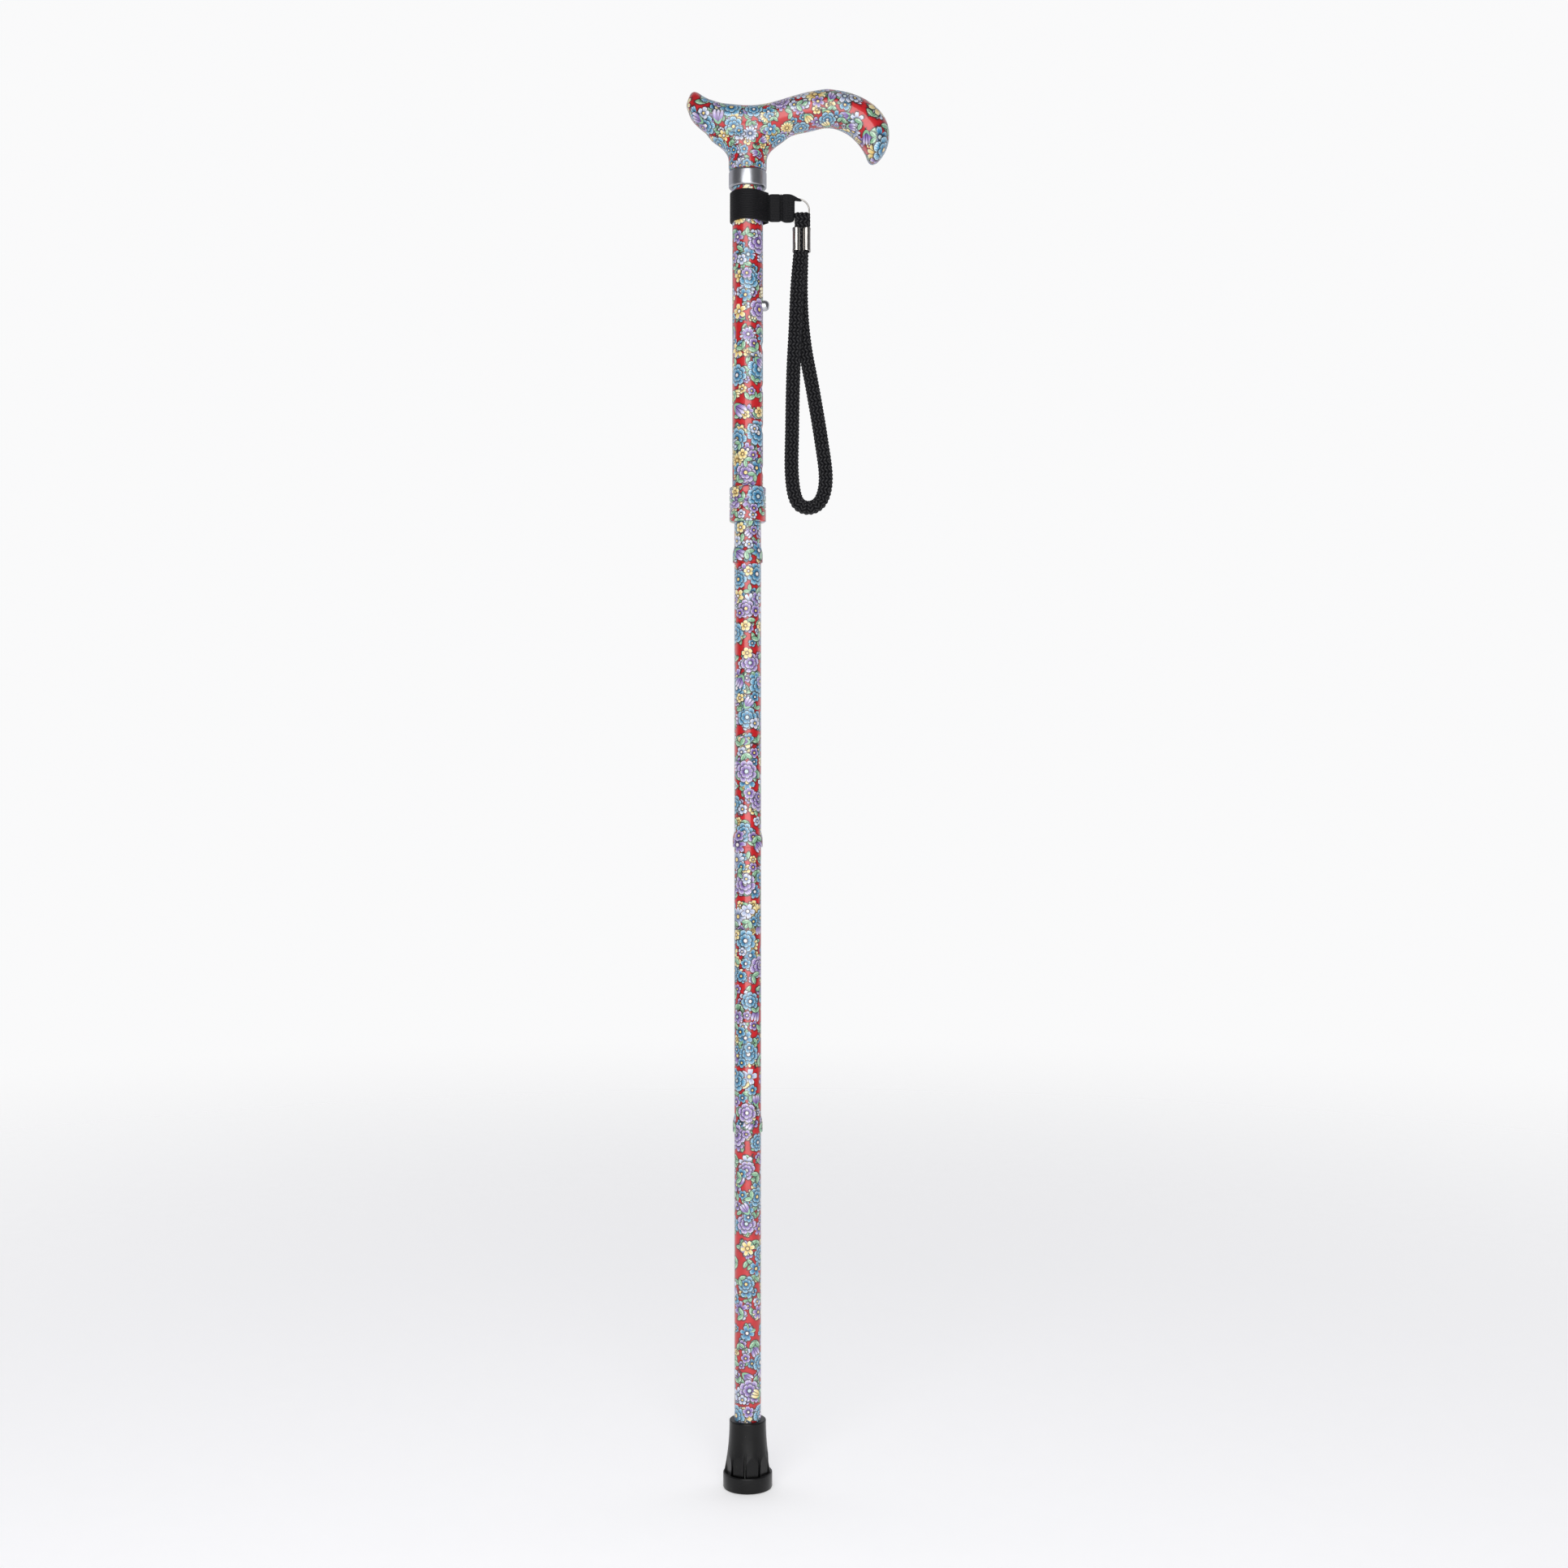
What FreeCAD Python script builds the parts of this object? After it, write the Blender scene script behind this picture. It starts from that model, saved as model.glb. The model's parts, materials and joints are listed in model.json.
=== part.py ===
import FreeCAD, Part
import math
import os
import Sketcher
from FreeCAD import Vector

# Folding, height-adjustable walking cane with a derby handle and a wrist strap.
# The origin is the centre of the rubber foot's sole. +Z runs up the shaft, and +X is the side
# of the handle's hook, of the snap button and of the wrist strap's tail. Millimetres.

doc = FreeCAD.newDocument("folding_cane")

SIZES = (
    ("outer_tube_diameter", 19.05, "height-adjusting outer tube"),
    ("lower_tube_diameter", 16.5, "inner tube and the three lower sections"),
    ("tube_wall", 1.2, "wall of every shaft tube"),
    ("sliding_gap", 0.05, "radial gap of parts that slide in one another"),
    ("hole_pitch", 25.4, "step of the height holes, one inch"),
    ("hole_count", 5, "height holes in the outer tube"),
    ("button_diameter", 6.7, "snap button's shank and dome"),
    ("button_reach", 13.4, "dome's top from the shaft's axis"),
    ("button_seat", 4.1, "back of the button's flange, from the shaft's axis"),
    ("button_flange", 1.0, "thickness and width of the button's flange"),
    ("leaf_thickness", 0.6, "leaf spring behind the button"),
    ("leaf_width", 6.5, "leaf spring behind the button"),
    ("button_height", 730.4, "snap button above the sole, in the top hole"),
    ("joint_3_height", 219.6, "lower edge of the lowest bell"),
    ("section_length", 175.9, "spacing of the bells"),
    ("bell_diameter", 18.6, "flared lower end of a section"),
    ("bell_depth", 7.5, "how far the next tube stands in a bell"),
    ("bell_taper", 3.0, "height over which a bell narrows to its tube"),
    ("spigot_reach", 50.0, "free length of a spigot above its section"),
    ("spigot_root", 30.0, "length of a spigot fixed in its section"),
    ("spigot_wall", 1.0, "wall of a spigot"),
    ("cord_diameter", 5.0, "elastic shock cord"),
    ("anchor_height", 650.0, "underside of the cord's upper anchor"),
    ("anchor_length", 12.0, "length of a cord anchor"),
    ("stop_length", 8.0, "length of a cord end stop"),
    ("inner_tube_top", 760.0, "upper end of the inner tube, shortest setting"),
    ("collar_lower_edge", 802.5, "lower edge of the metal collar"),
    ("collar_height", 10.5, "metal collar under the handle"),
    ("collar_diameter", 23.4, "metal collar under the handle"),
    ("socket_depth", 21.0, "how far the outer tube stands in the handle"),
    ("sleeve_wall", 0.8, "plastic sleeve between the tube and the handle"),
    ("plug_length", 9.0, "plug in the outer tube's upper end"),
    ("lock_lower_edge", 596.3, "lower edge of the locking collar"),
    ("lock_height", 21.6, "locking collar"),
    ("lock_diameter", 22.5, "locking collar"),
    ("lock_thread_diameter", 20.4, "thread of the locking bushing"),
    ("lock_lip", 3.2, "height of the collar's inner lip, under the squeezed ring"),
    ("lock_skirt", 8.4, "plain part of the collar below its first groove"),
    ("lock_rib", 4.2, "spacing of the collar's three grooves"),
    ("foot_height", 41.9, "rubber foot"),
    ("foot_diameter", 30.4, "foot ring at the sole"),
    ("foot_neck_diameter", 22.6, "rubber foot's upper rim"),
    ("foot_ring_height", 9.9, "plain ring at the sole"),
    ("foot_floor", 12.0, "underside of the tube in the foot"),
    ("foot_flutes", 9, "flutes round the foot"),
    ("tread_depth", 1.2, "grooves in the sole"),
    ("washer_thickness", 2.0, "steel washer under the lowest tube"),
    ("webbing_width", 18.4, "elastic strap band"),
    ("webbing_thickness", 1.5, "elastic strap band, one layer"),
    ("webbing_height", 781.6, "lower edge of the strap band"),
    ("tail_end", 29.1, "outer edge of the strap's tail"),
    ("ring_diameter", 15.0, "split ring, outside"),
    ("ring_wire", 0.95, "split ring's wire"),
    ("ring_across", 31.0, "split ring's centre"),
    ("ring_height", 789.3, "split ring's centre"),
    ("pocket_diameter", 2.7, "sewn tunnels that the split ring's wire runs through"),
    ("braid_width", 8.2, "wrist cord's flat braid"),
    ("braid_thickness", 2.6, "wrist cord's flat braid"),
    ("fold_width", 9.5, "wrist cord where it is folded over the ring"),
    ("fold_top", 788.6, "top of the wrist cord's fold"),
    ("crimp_across", 33.3, "middle of the wrist cord's metal crimp"),
    ("crimp_width", 10.4, "wrist cord's metal crimp"),
    ("crimp_height", 14.2, "wrist cord's metal crimp"),
    ("crimp_lower_edge", 764.0, "wrist cord's metal crimp"),
)

sheet = doc.addObject("Spreadsheet::Sheet", "sizes")
for row, (alias, value, note) in enumerate(SIZES, start=1):
    sheet.set(f"A{row}", note)
    sheet.set(f"B{row}", str(value))
    sheet.setAlias(f"B{row}", alias)
doc.recompute()
size = {alias: value for alias, value, note in SIZES}

# Lengths that several pieces share, as expressions of the sheet.
OUTER_R = "sizes.outer_tube_diameter / 2"
OUTER_BORE_R = "(sizes.outer_tube_diameter / 2 - sizes.tube_wall)"
LOWER_R = "sizes.lower_tube_diameter / 2"
LOWER_BORE_R = "(sizes.lower_tube_diameter / 2 - sizes.tube_wall)"
SPIGOT_BORE_R = f"({LOWER_BORE_R} - sizes.sliding_gap - sizes.spigot_wall)"
CORD_R = "sizes.cord_diameter / 2"
COLLAR_TOP = "(sizes.collar_lower_edge + sizes.collar_height)"
OUTER_TUBE_TOP = f"({COLLAR_TOP} + sizes.socket_depth)"
OUTER_TUBE_END = "(sizes.lock_lower_edge + 6.2)"
JOINTS = {
    3: "sizes.joint_3_height",
    2: "(sizes.joint_3_height + sizes.section_length)",
    1: "(sizes.joint_3_height + 2 * sizes.section_length)",
}


def plane(body, role):
    """The body's own origin plane with this role."""
    return next(part for part in body.Origin.OriginFeatures if part.Role == role)


def new_body(label):
    """An empty PartDesign body, whose label is its node's name."""
    body = doc.addObject("PartDesign::Body", label)
    body.Label = label
    return body


def new_sketch(body, name, role):
    """A sketch on one of the body's own origin planes."""
    sketch = body.newObject("Sketcher::SketchObject", name)
    sketch.AttachmentSupport = [(plane(body, role), "")]
    sketch.MapMode = "FlatFace"
    return sketch


def place_point(sketch, edge, end, across, up):
    """Tie one end of an edge to the origin by two expressions."""
    for kind, expression in (("DistanceX", across), ("DistanceY", up)):
        if expression == "0":
            axis = -2 if kind == "DistanceX" else -1
            sketch.addConstraint(Sketcher.Constraint("PointOnObject", edge, end, axis))
            continue
        index = sketch.addConstraint(Sketcher.Constraint(kind, -1, 1, edge, end, 1.0))
        sketch.setExpression(f"Constraints[{index}]", expression)


def draw_polygon(sketch, corners):
    """A closed outline whose corners are pairs of expressions."""
    first = sketch.GeometryCount
    count = len(corners)
    turn = 2 * math.pi / count
    rough = [Vector(30 + 9 * math.cos(i * turn), 9 * math.sin(i * turn), 0) for i in range(count)]
    for i in range(count):
        sketch.addGeometry(Part.LineSegment(rough[i], rough[(i + 1) % count]), False)
    for i in range(count):
        following = first + (i + 1) % count
        sketch.addConstraint(Sketcher.Constraint("Coincident", first + i, 2, following, 1))
    for i, (across, up) in enumerate(corners):
        place_point(sketch, first + i, 1, across, up)


def draw_circle(sketch, across, up, radius):
    """A full circle placed and sized by expressions."""
    edge = sketch.addGeometry(Part.Circle(Vector(20, 20, 0), Vector(0, 0, 1), 3), False)
    place_point(sketch, edge, 3, across, up)
    index = sketch.addConstraint(Sketcher.Constraint("Radius", edge, 3.0))
    sketch.setExpression(f"Constraints[{index}]", radius)


def turned(label, outline):
    """A piece turned about the shaft's axis from a closed radius-and-height outline."""
    body = new_body(label)
    sketch = new_sketch(body, f"{label}_outline", "XZ_Plane")
    draw_polygon(sketch, outline)
    spin = body.newObject("PartDesign::Revolution", f"{label}_turn")
    spin.Profile = sketch
    spin.ReferenceAxis = (sketch, ["V_Axis"])
    spin.Angle = 360.0
    sketch.Visibility = False
    doc.recompute()
    return body


def pocket(body, sketch, length, reverse):
    """Cut a sketch straight into its body, and make sure that it took material away."""
    before = body.Shape.Volume
    cut = body.newObject("PartDesign::Pocket", f"{sketch.Name}_cut")
    cut.Profile = sketch
    cut.Type = "Length"
    cut.setExpression("Length", length)
    cut.Reversed = reverse
    doc.recompute()
    if not body.Shape.Volume < before:
        raise RuntimeError(f"{sketch.Name} cut nothing")
    return cut


def add_shape(label, shape):
    """Keep a shape as a node of its own."""
    node = doc.addObject("Part::Feature", label)
    node.Label = label
    node.Shape = shape
    node.Placement = FreeCAD.Placement()
    return node


# ---- Shaft -----------------------------------------------------------------------------------

def make_outer_tube():
    """The printed upper tube with its row of height holes on the +X side."""
    body = turned("upper_tube", (
        (OUTER_BORE_R, OUTER_TUBE_END),
        (OUTER_R, OUTER_TUBE_END),
        (OUTER_R, OUTER_TUBE_TOP),
        (OUTER_BORE_R, OUTER_TUBE_TOP),
    ))
    sketch = new_sketch(body, "height_hole", "YZ_Plane")
    draw_circle(sketch, "0", "sizes.button_height", "sizes.button_diameter / 2 + 0.1")
    hole = pocket(body, sketch, "sizes.outer_tube_diameter", True)
    row = body.newObject("PartDesign::LinearPattern", "height_holes")
    row.Originals = [hole]
    row.Direction = (plane(body, "Z_Axis"), [""])
    row.Reversed = True
    row.setExpression("Length", "(sizes.hole_count - 1) * sizes.hole_pitch")
    row.setExpression("Occurrences", "sizes.hole_count")
    body.Tip = row


def belled_tube(label, bell, top):
    """A lower tube whose bottom end flares into a bell that takes the next section."""
    seat_r = f"({LOWER_R} + sizes.sliding_gap)"
    bell_r = "sizes.bell_diameter / 2"
    shoulder = f"({bell} + sizes.bell_depth)"
    narrow = f"({shoulder} + sizes.bell_taper)"
    return turned(label, (
        (seat_r, bell),
        (bell_r, bell),
        (bell_r, f"{shoulder} - sizes.bell_taper / 2"),
        (LOWER_R, narrow),
        (LOWER_R, top),
        (LOWER_BORE_R, top),
        (LOWER_BORE_R, shoulder),
        (seat_r, shoulder),
    ))


def make_inner_tube():
    """The height-adjusting inner tube, with one hole for the snap button."""
    body = belled_tube("inner_tube", JOINTS[1], "sizes.inner_tube_top")
    sketch = new_sketch(body, "button_hole", "YZ_Plane")
    draw_circle(sketch, "0", "sizes.button_height", "sizes.button_diameter / 2 + 0.1")
    pocket(body, sketch, "sizes.outer_tube_diameter", True)


def section_top(joint):
    """Upper end of the section that stands in this joint's bell."""
    return f"({JOINTS[joint]} + sizes.bell_depth - sizes.sliding_gap)"


def make_spigot(number):
    """The plain sleeve fixed in a section's top, which plugs into the tube above it."""
    seam = section_top(number - 1)
    root_r = LOWER_BORE_R
    slide_r = f"({LOWER_BORE_R} - sizes.sliding_gap)"
    low = f"({seam} - sizes.spigot_root)"
    high = f"({seam} + sizes.spigot_reach)"
    turned(f"spigot_{number}", (
        (SPIGOT_BORE_R, low),
        (root_r, low),
        (root_r, seam),
        (slide_r, seam),
        (slide_r, f"{high} - 1"),
        (f"{slide_r} - 0.5", high),
        (SPIGOT_BORE_R, high),
    ))


def make_cord_guide(number):
    """The flanged nylon ring in a spigot's mouth, which keeps the cord off the metal edge."""
    mouth = f"({section_top(number - 1)} + sizes.spigot_reach)"
    guide_bore = f"({CORD_R} + 0.4)"
    turned(f"cord_guide_{number}", (
        (guide_bore, f"{mouth} - 6"),
        (SPIGOT_BORE_R, f"{mouth} - 6"),
        (SPIGOT_BORE_R, mouth),
        (f"{SPIGOT_BORE_R} + 0.5", mouth),
        (f"{SPIGOT_BORE_R} + 0.5", f"{mouth} + 0.8"),
        (f"{guide_bore} + 1.2", f"{mouth} + 1.4"),
        (guide_bore, f"{mouth} + 0.6"),
    ))


def make_anchor(label, low):
    """A nylon plug, pressed into a tube, that the shock cord hangs from."""
    high = f"({low} + sizes.anchor_length)"
    turned(label, (
        (f"{CORD_R} + 0.2", low),
        (f"{LOWER_BORE_R} - 0.4", low),
        (LOWER_BORE_R, f"{low} + 1"),
        (LOWER_BORE_R, f"{high} - 1"),
        (f"{LOWER_BORE_R} - 0.4", high),
        (f"{CORD_R} + 0.2", high),
    ))


def make_cord_stop(label, low):
    """A crimped metal stop on one end of the shock cord."""
    high = f"({low} + sizes.stop_length)"
    stop_r = f"({CORD_R} + 1.6)"
    turned(label, (
        (CORD_R, low),
        (f"{stop_r} - 0.8", low),
        (stop_r, f"{low} + 1.2"),
        (stop_r, f"{high} - 1.2"),
        (f"{stop_r} - 0.8", high),
        (CORD_R, high),
    ))


def make_lower_shaft():
    """The three lower sections with their spigots, guides, anchors and the shock cord."""
    belled_tube("section_2", JOINTS[2], section_top(1))
    belled_tube("section_3", JOINTS[3], section_top(2))
    turned("section_4", (
        (LOWER_BORE_R, "sizes.foot_floor"),
        (LOWER_R, "sizes.foot_floor"),
        (LOWER_R, section_top(3)),
        (LOWER_BORE_R, section_top(3)),
    ))
    for number in (2, 3, 4):
        make_spigot(number)
        make_cord_guide(number)
    lower_anchor = "(sizes.foot_floor + sizes.stop_length + 8)"
    lower_stop = f"({lower_anchor} - sizes.stop_length)"
    upper_stop = "(sizes.anchor_height + sizes.anchor_length)"
    make_anchor("cord_anchor_lower", lower_anchor)
    make_anchor("cord_anchor_upper", "sizes.anchor_height")
    make_cord_stop("cord_stop_lower", lower_stop)
    make_cord_stop("cord_stop_upper", upper_stop)
    turned("shock_cord", (
        ("0", lower_stop),
        (CORD_R, lower_stop),
        (CORD_R, f"{upper_stop} + sizes.stop_length"),
        ("0", f"{upper_stop} + sizes.stop_length"),
    ))


# ---- Height lock -----------------------------------------------------------------------------

def make_snap_button():
    """A domed button with a flange that catches on the inner tube's wall."""
    body = new_body("snap_button")
    sketch = new_sketch(body, "button_outline", "XZ_Plane")
    axis = "sizes.button_height"
    half = "sizes.button_diameter / 2"
    rim = f"({axis} + {half})"
    draw_polygon(sketch, (
        ("sizes.button_seat", axis),
        ("sizes.button_seat", f"{rim} + sizes.button_flange"),
        ("sizes.button_seat + sizes.button_flange", f"{rim} + sizes.button_flange"),
        ("sizes.button_seat + sizes.button_flange", rim),
        ("sizes.button_reach - 2.6", rim),
        ("sizes.button_reach - 1.0", f"{axis} + {half} * 0.76"),
        ("sizes.button_reach", f"{axis} + {half} * 0.24"),
        ("sizes.button_reach", axis),
    ))
    spin = body.newObject("PartDesign::Revolution", "button_turn")
    spin.Profile = sketch
    spin.ReferenceAxis = (sketch, ["Edge8"])
    spin.Angle = 360.0
    doc.recompute()


def make_button_spring():
    """A V-shaped leaf spring: one leg behind the button, the other on the far wall."""
    body = new_body("button_spring")
    sketch = new_sketch(body, "spring_outline", "XZ_Plane")
    height = "sizes.button_height"
    front = "(sizes.button_seat - sizes.sliding_gap)"
    behind_front = f"({front} - sizes.leaf_thickness)"
    bend = f"({height} + 25)"
    draw_polygon(sketch, (
        (front, f"{height} - 5"),
        (front, f"{height} + 5"),
        ("-4.2", bend),
        ("-5.2", f"{bend} - 0.4"),
        ("-5.6", f"{height} - 9"),
        ("sizes.leaf_thickness - 5.6", f"{height} - 9"),
        ("-4.6", f"{bend} - 1.6"),
        (behind_front, f"{height} + 4.6"),
        (behind_front, f"{height} - 5"),
    ))
    pad = body.newObject("PartDesign::Pad", "spring_leaf")
    pad.Profile = sketch
    pad.setExpression("Length", "sizes.leaf_width")
    pad.Midplane = True
    doc.recompute()


def make_lock():
    """Threaded bushing on the tube's end, the squeezed ring, and the turned collar round both."""
    low = "sizes.lock_lower_edge"
    lip = f"({low} + sizes.lock_lip)"
    thread_r = "sizes.lock_thread_diameter / 2"
    top = f"({low} + sizes.lock_height)"
    turned("lock_bushing", (
        (OUTER_R, f"{OUTER_TUBE_END} + 0.4"),
        (thread_r, f"{OUTER_TUBE_END} + 0.4"),
        (thread_r, f"{top} - 1.2"),
        (f"{OUTER_R} + 0.3", f"{top} - 0.2"),
        (OUTER_R, f"{top} - 0.2"),
    ))
    turned("compression_ring", (
        (f"{LOWER_R} + sizes.sliding_gap", lip),
        (f"{thread_r} - 0.5", lip),
        (f"{thread_r} - 0.5", f"{OUTER_TUBE_END} - 0.8"),
        (f"{thread_r} - 1.1", f"{OUTER_TUBE_END} - 0.1"),
        (f"{LOWER_R} + sizes.sliding_gap", f"{OUTER_TUBE_END} - 0.1"),
    ))
    lock_r = "sizes.lock_diameter / 2"
    bore_r = f"({thread_r} + sizes.sliding_gap)"
    lip_r = f"({LOWER_R} + 0.1)"
    ribs = [(lip_r, low), (f"{lock_r} - 0.9", low), (lock_r, f"{low} + 1.1")]
    for i in range(3):
        groove = f"({low} + sizes.lock_skirt + {i} * sizes.lock_rib)"
        ribs.append((lock_r, f"{groove} - 0.8"))
        ribs.append((f"{lock_r} - 0.7", groove))
        ribs.append((lock_r, f"{groove} + 0.8"))
    ribs += [(lock_r, f"{top} - 0.8"), (f"{lock_r} - 0.8", top), (bore_r, top)]
    ribs += [(bore_r, lip), (lip_r, lip)]
    turned("lock_collar", ribs)


# ---- Handle ----------------------------------------------------------------------------------

# Cross-sections of the grip from nose to hook: the centre, half the depth in the handle's plane,
# half the width across it, and how far the section leans from upright towards -X, in degrees.
GRIP_SECTIONS = (
    (-36.2, 848.6, 3.2, 3.4, -24),
    (-34.6, 848.8, 7.6, 7.0, -24),
    (-31.0, 848.6, 11.2, 9.8, -20),
    (-24.0, 846.4, 12.3, 11.8, -10),
    (-12.0, 844.4, 10.3, 13.2, -3),
    (4.0, 844.0, 9.6, 14.0, 0),
    (20.0, 846.0, 10.8, 14.6, 0),
    (34.0, 849.4, 11.6, 14.8, 0),
    (48.5, 852.4, 11.3, 14.4, 0),
    (60.0, 850.4, 11.4, 13.8, 14),
    (70.3, 845.1, 12.0, 13.0, 27),
    (77.0, 838.0, 11.6, 12.2, 43),
    (79.8, 830.4, 9.4, 11.2, 58),
    (79.3, 823.6, 6.2, 9.0, 72),
    (77.2, 818.2, 2.4, 5.0, 84),
)
HOOK_START = 8  # the section at which the grip begins to bend down into the hook
# Sections of the stem that carries the grip: height, then half-sizes along X and across.
STEM_SECTIONS = (
    (813.0, 11.9, 11.9),
    (819.0, 11.9, 11.9),
    (825.0, 13.6, 12.2),
    (829.5, 18.6, 12.4),
    (834.0, 26.0, 12.0),
)


def oval(centre, half_along, half_across, lean):
    """A closed oval wire across the grip, its first axis leaning from level by an angle."""
    along = Vector(math.cos(math.radians(lean)), 0, -math.sin(math.radians(lean)))
    points = []
    for i in range(16):
        turn = 2 * math.pi * i / 16
        across = Vector(0, half_across * math.sin(turn), 0)
        points.append(centre + along * (half_along * math.cos(turn)) + across)
    curve = Part.BSplineCurve()
    curve.interpolate(points, PeriodicFlag=True)
    return Part.Wire(curve.toShape())


def make_handle():
    """Derby grip and stem in one piece, with a blind socket for the tube."""
    grip_wires = [oval(Vector(across, 0, up), half_depth, half_width, 90 + lean)
                  for across, up, half_depth, half_width, lean in GRIP_SECTIONS]
    stem_wires = [oval(Vector(0, 0, up), half_along, half_across, 0)
                  for up, half_along, half_across in STEM_SECTIONS]
    palm = Part.makeLoft(grip_wires[:HOOK_START + 1], True, False)
    hook = Part.makeLoft(grip_wires[HOOK_START:], True, False)
    stem = Part.makeLoft(stem_wires, True, False)
    socket_r = size["outer_tube_diameter"] / 2 + size["sleeve_wall"]
    collar_top = size["collar_lower_edge"] + size["collar_height"]
    socket = Part.makeCylinder(socket_r, size["socket_depth"] + 1, Vector(0, 0, collar_top - 1))
    add_shape("handle", palm.fuse([hook, stem]).cut(socket).removeSplitter())


def make_handle_fittings():
    """The sleeve between tube and handle, the tube's end plug and the metal collar."""
    turned("handle_sleeve", (
        (OUTER_R, COLLAR_TOP),
        (f"{OUTER_R} + sizes.sleeve_wall", COLLAR_TOP),
        (f"{OUTER_R} + sizes.sleeve_wall", OUTER_TUBE_TOP),
        (OUTER_R, OUTER_TUBE_TOP),
    ))
    turned("tube_end_plug", (
        ("0", f"{OUTER_TUBE_TOP} - sizes.plug_length"),
        (f"{OUTER_BORE_R} - 1.4", f"{OUTER_TUBE_TOP} - sizes.plug_length"),
        (OUTER_BORE_R, f"{OUTER_TUBE_TOP} - sizes.plug_length + 1.4"),
        (OUTER_BORE_R, OUTER_TUBE_TOP),
        ("0", OUTER_TUBE_TOP),
    ))
    collar_r = "sizes.collar_diameter / 2"
    turned("collar_ring", (
        (OUTER_R, "sizes.collar_lower_edge"),
        (f"{collar_r} - 0.9", "sizes.collar_lower_edge"),
        (f"{collar_r} - 0.25", "sizes.collar_lower_edge + 0.5"),
        (collar_r, "sizes.collar_lower_edge + 1.6"),
        (collar_r, f"{COLLAR_TOP} - 1.6"),
        (f"{collar_r} - 0.25", f"{COLLAR_TOP} - 0.5"),
        (f"{collar_r} - 0.9", COLLAR_TOP),
        (OUTER_R, COLLAR_TOP),
    ))


# ---- Foot ------------------------------------------------------------------------------------

def make_foot():
    """The rubber foot: a socket over the lowest tube, a fluted flare and a plain foot ring."""
    foot_r = "sizes.foot_diameter / 2"
    neck_r = "sizes.foot_neck_diameter / 2"
    ring_top = "sizes.foot_ring_height"
    body = turned("rubber_foot", (
        ("0", "0"),
        ("3.6", "0"),
        ("3.6", "sizes.tread_depth"),
        ("5.4", "sizes.tread_depth"),
        ("5.4", "0"),
        ("8.2", "0"),
        ("8.2", "sizes.tread_depth"),
        ("10", "sizes.tread_depth"),
        ("10", "0"),
        (f"{foot_r} - 0.8", "0"),
        (foot_r, "0.8"),
        (foot_r, f"{ring_top} - 0.8"),
        (f"{foot_r} - 0.7", ring_top),
        (f"{neck_r} + 3.1", f"{ring_top} + 1.8"),
        (f"{neck_r} + 1.4", f"{ring_top} + 13"),
        (f"{neck_r} + 0.6", f"{ring_top} + 21"),
        (neck_r, "sizes.foot_height - 0.7"),
        (f"{neck_r} - 0.6", "sizes.foot_height"),
        (LOWER_R, "sizes.foot_height"),
        (LOWER_R, "sizes.foot_floor - sizes.washer_thickness"),
        ("0", "sizes.foot_floor - sizes.washer_thickness"),
    ))
    sketch = new_sketch(body, "flute_outline", "XY_Plane")
    for side in (-1, 1):
        draw_polygon(sketch, (
            (f"{neck_r} + 1.2", f"{side} * 0.45"),
            (f"{foot_r} + 3", f"{side} * 0.45"),
            (f"{foot_r} + 3", f"{side} * 4.1"),
            (f"{neck_r} + 1.2", f"{side} * 4.1"),
        ))
    sketch.setExpression("AttachmentOffset.Base.z", f"{ring_top} + 0.6")
    flute = pocket(body, sketch, "16", True)
    ring = body.newObject("PartDesign::PolarPattern", "flutes")
    ring.Originals = [flute]
    ring.Axis = (plane(body, "Z_Axis"), [""])
    ring.Angle = 360.0
    ring.setExpression("Occurrences", "sizes.foot_flutes")
    body.Tip = ring
    turned("foot_washer", (
        ("0", "sizes.foot_floor - sizes.washer_thickness"),
        (f"{LOWER_R} - 0.1", "sizes.foot_floor - sizes.washer_thickness"),
        (f"{LOWER_R} - 0.1", "sizes.foot_floor"),
        ("0", "sizes.foot_floor"),
    ))


# ---- Wrist strap -----------------------------------------------------------------------------

RING_R = (size["ring_diameter"] - size["ring_wire"]) / 2  # the ring's centre to its wire's centre


def ring_space(gap):
    """The split ring's path as a torus, widened by a gap for the cloth round it."""
    centre = Vector(size["ring_across"], 0, size["ring_height"])
    return Part.makeTorus(RING_R, size["ring_wire"] + gap, centre, Vector(0, 1, 0))


def tunnel(across, height, length, along):
    """A round hole for the ring's wire, centred on a point and running along a direction."""
    start = Vector(across, 0, height) - along * (length / 2)
    return Part.makeCylinder(size["pocket_diameter"] / 2, length, start, along)


def make_webbing():
    """The elastic band round the tube and its double tail, drawn out to the ring at one corner."""
    low = size["webbing_height"]
    high = low + size["webbing_width"]
    inner_r = size["outer_tube_diameter"] / 2 + size["sliding_gap"]
    outer_r = inner_r + size["webbing_thickness"]
    band = Part.makeCylinder(outer_r, high - low, Vector(0, 0, low))
    end = size["tail_end"]
    outline = [
        Vector(outer_r - 1, 0, low + 0.6),
        Vector(end - 3, 0, low + 0.4),
        Vector(end, 0, low + 1.6),
        Vector(end, 0, high - 5.6),
        Vector(end + 4.2, 0, high - 4.6),
        Vector(end + 2.4, 0, high - 2.4),
        Vector(end - 2, 0, high - 1.4),
        Vector(outer_r - 1, 0, high - 0.9),
    ]
    face = Part.Face(Part.makePolygon(outline + outline[:1]))
    tail_depth = 2 * size["webbing_thickness"] + 0.4
    tail = face.extrude(Vector(0, tail_depth, 0))
    tail.translate(Vector(0, -tail_depth / 2, 0))
    bore = Part.makeCylinder(inner_r, high - low, Vector(0, 0, low))
    wire = size["ring_across"] - RING_R
    sewn = tunnel(wire, size["ring_height"], 2 * size["webbing_width"], Vector(0, 0, 1))
    cloth = band.fuse(tail).cut([bore, ring_space(0.35), sewn])
    add_shape("strap_webbing", cloth.removeSplitter())


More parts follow.
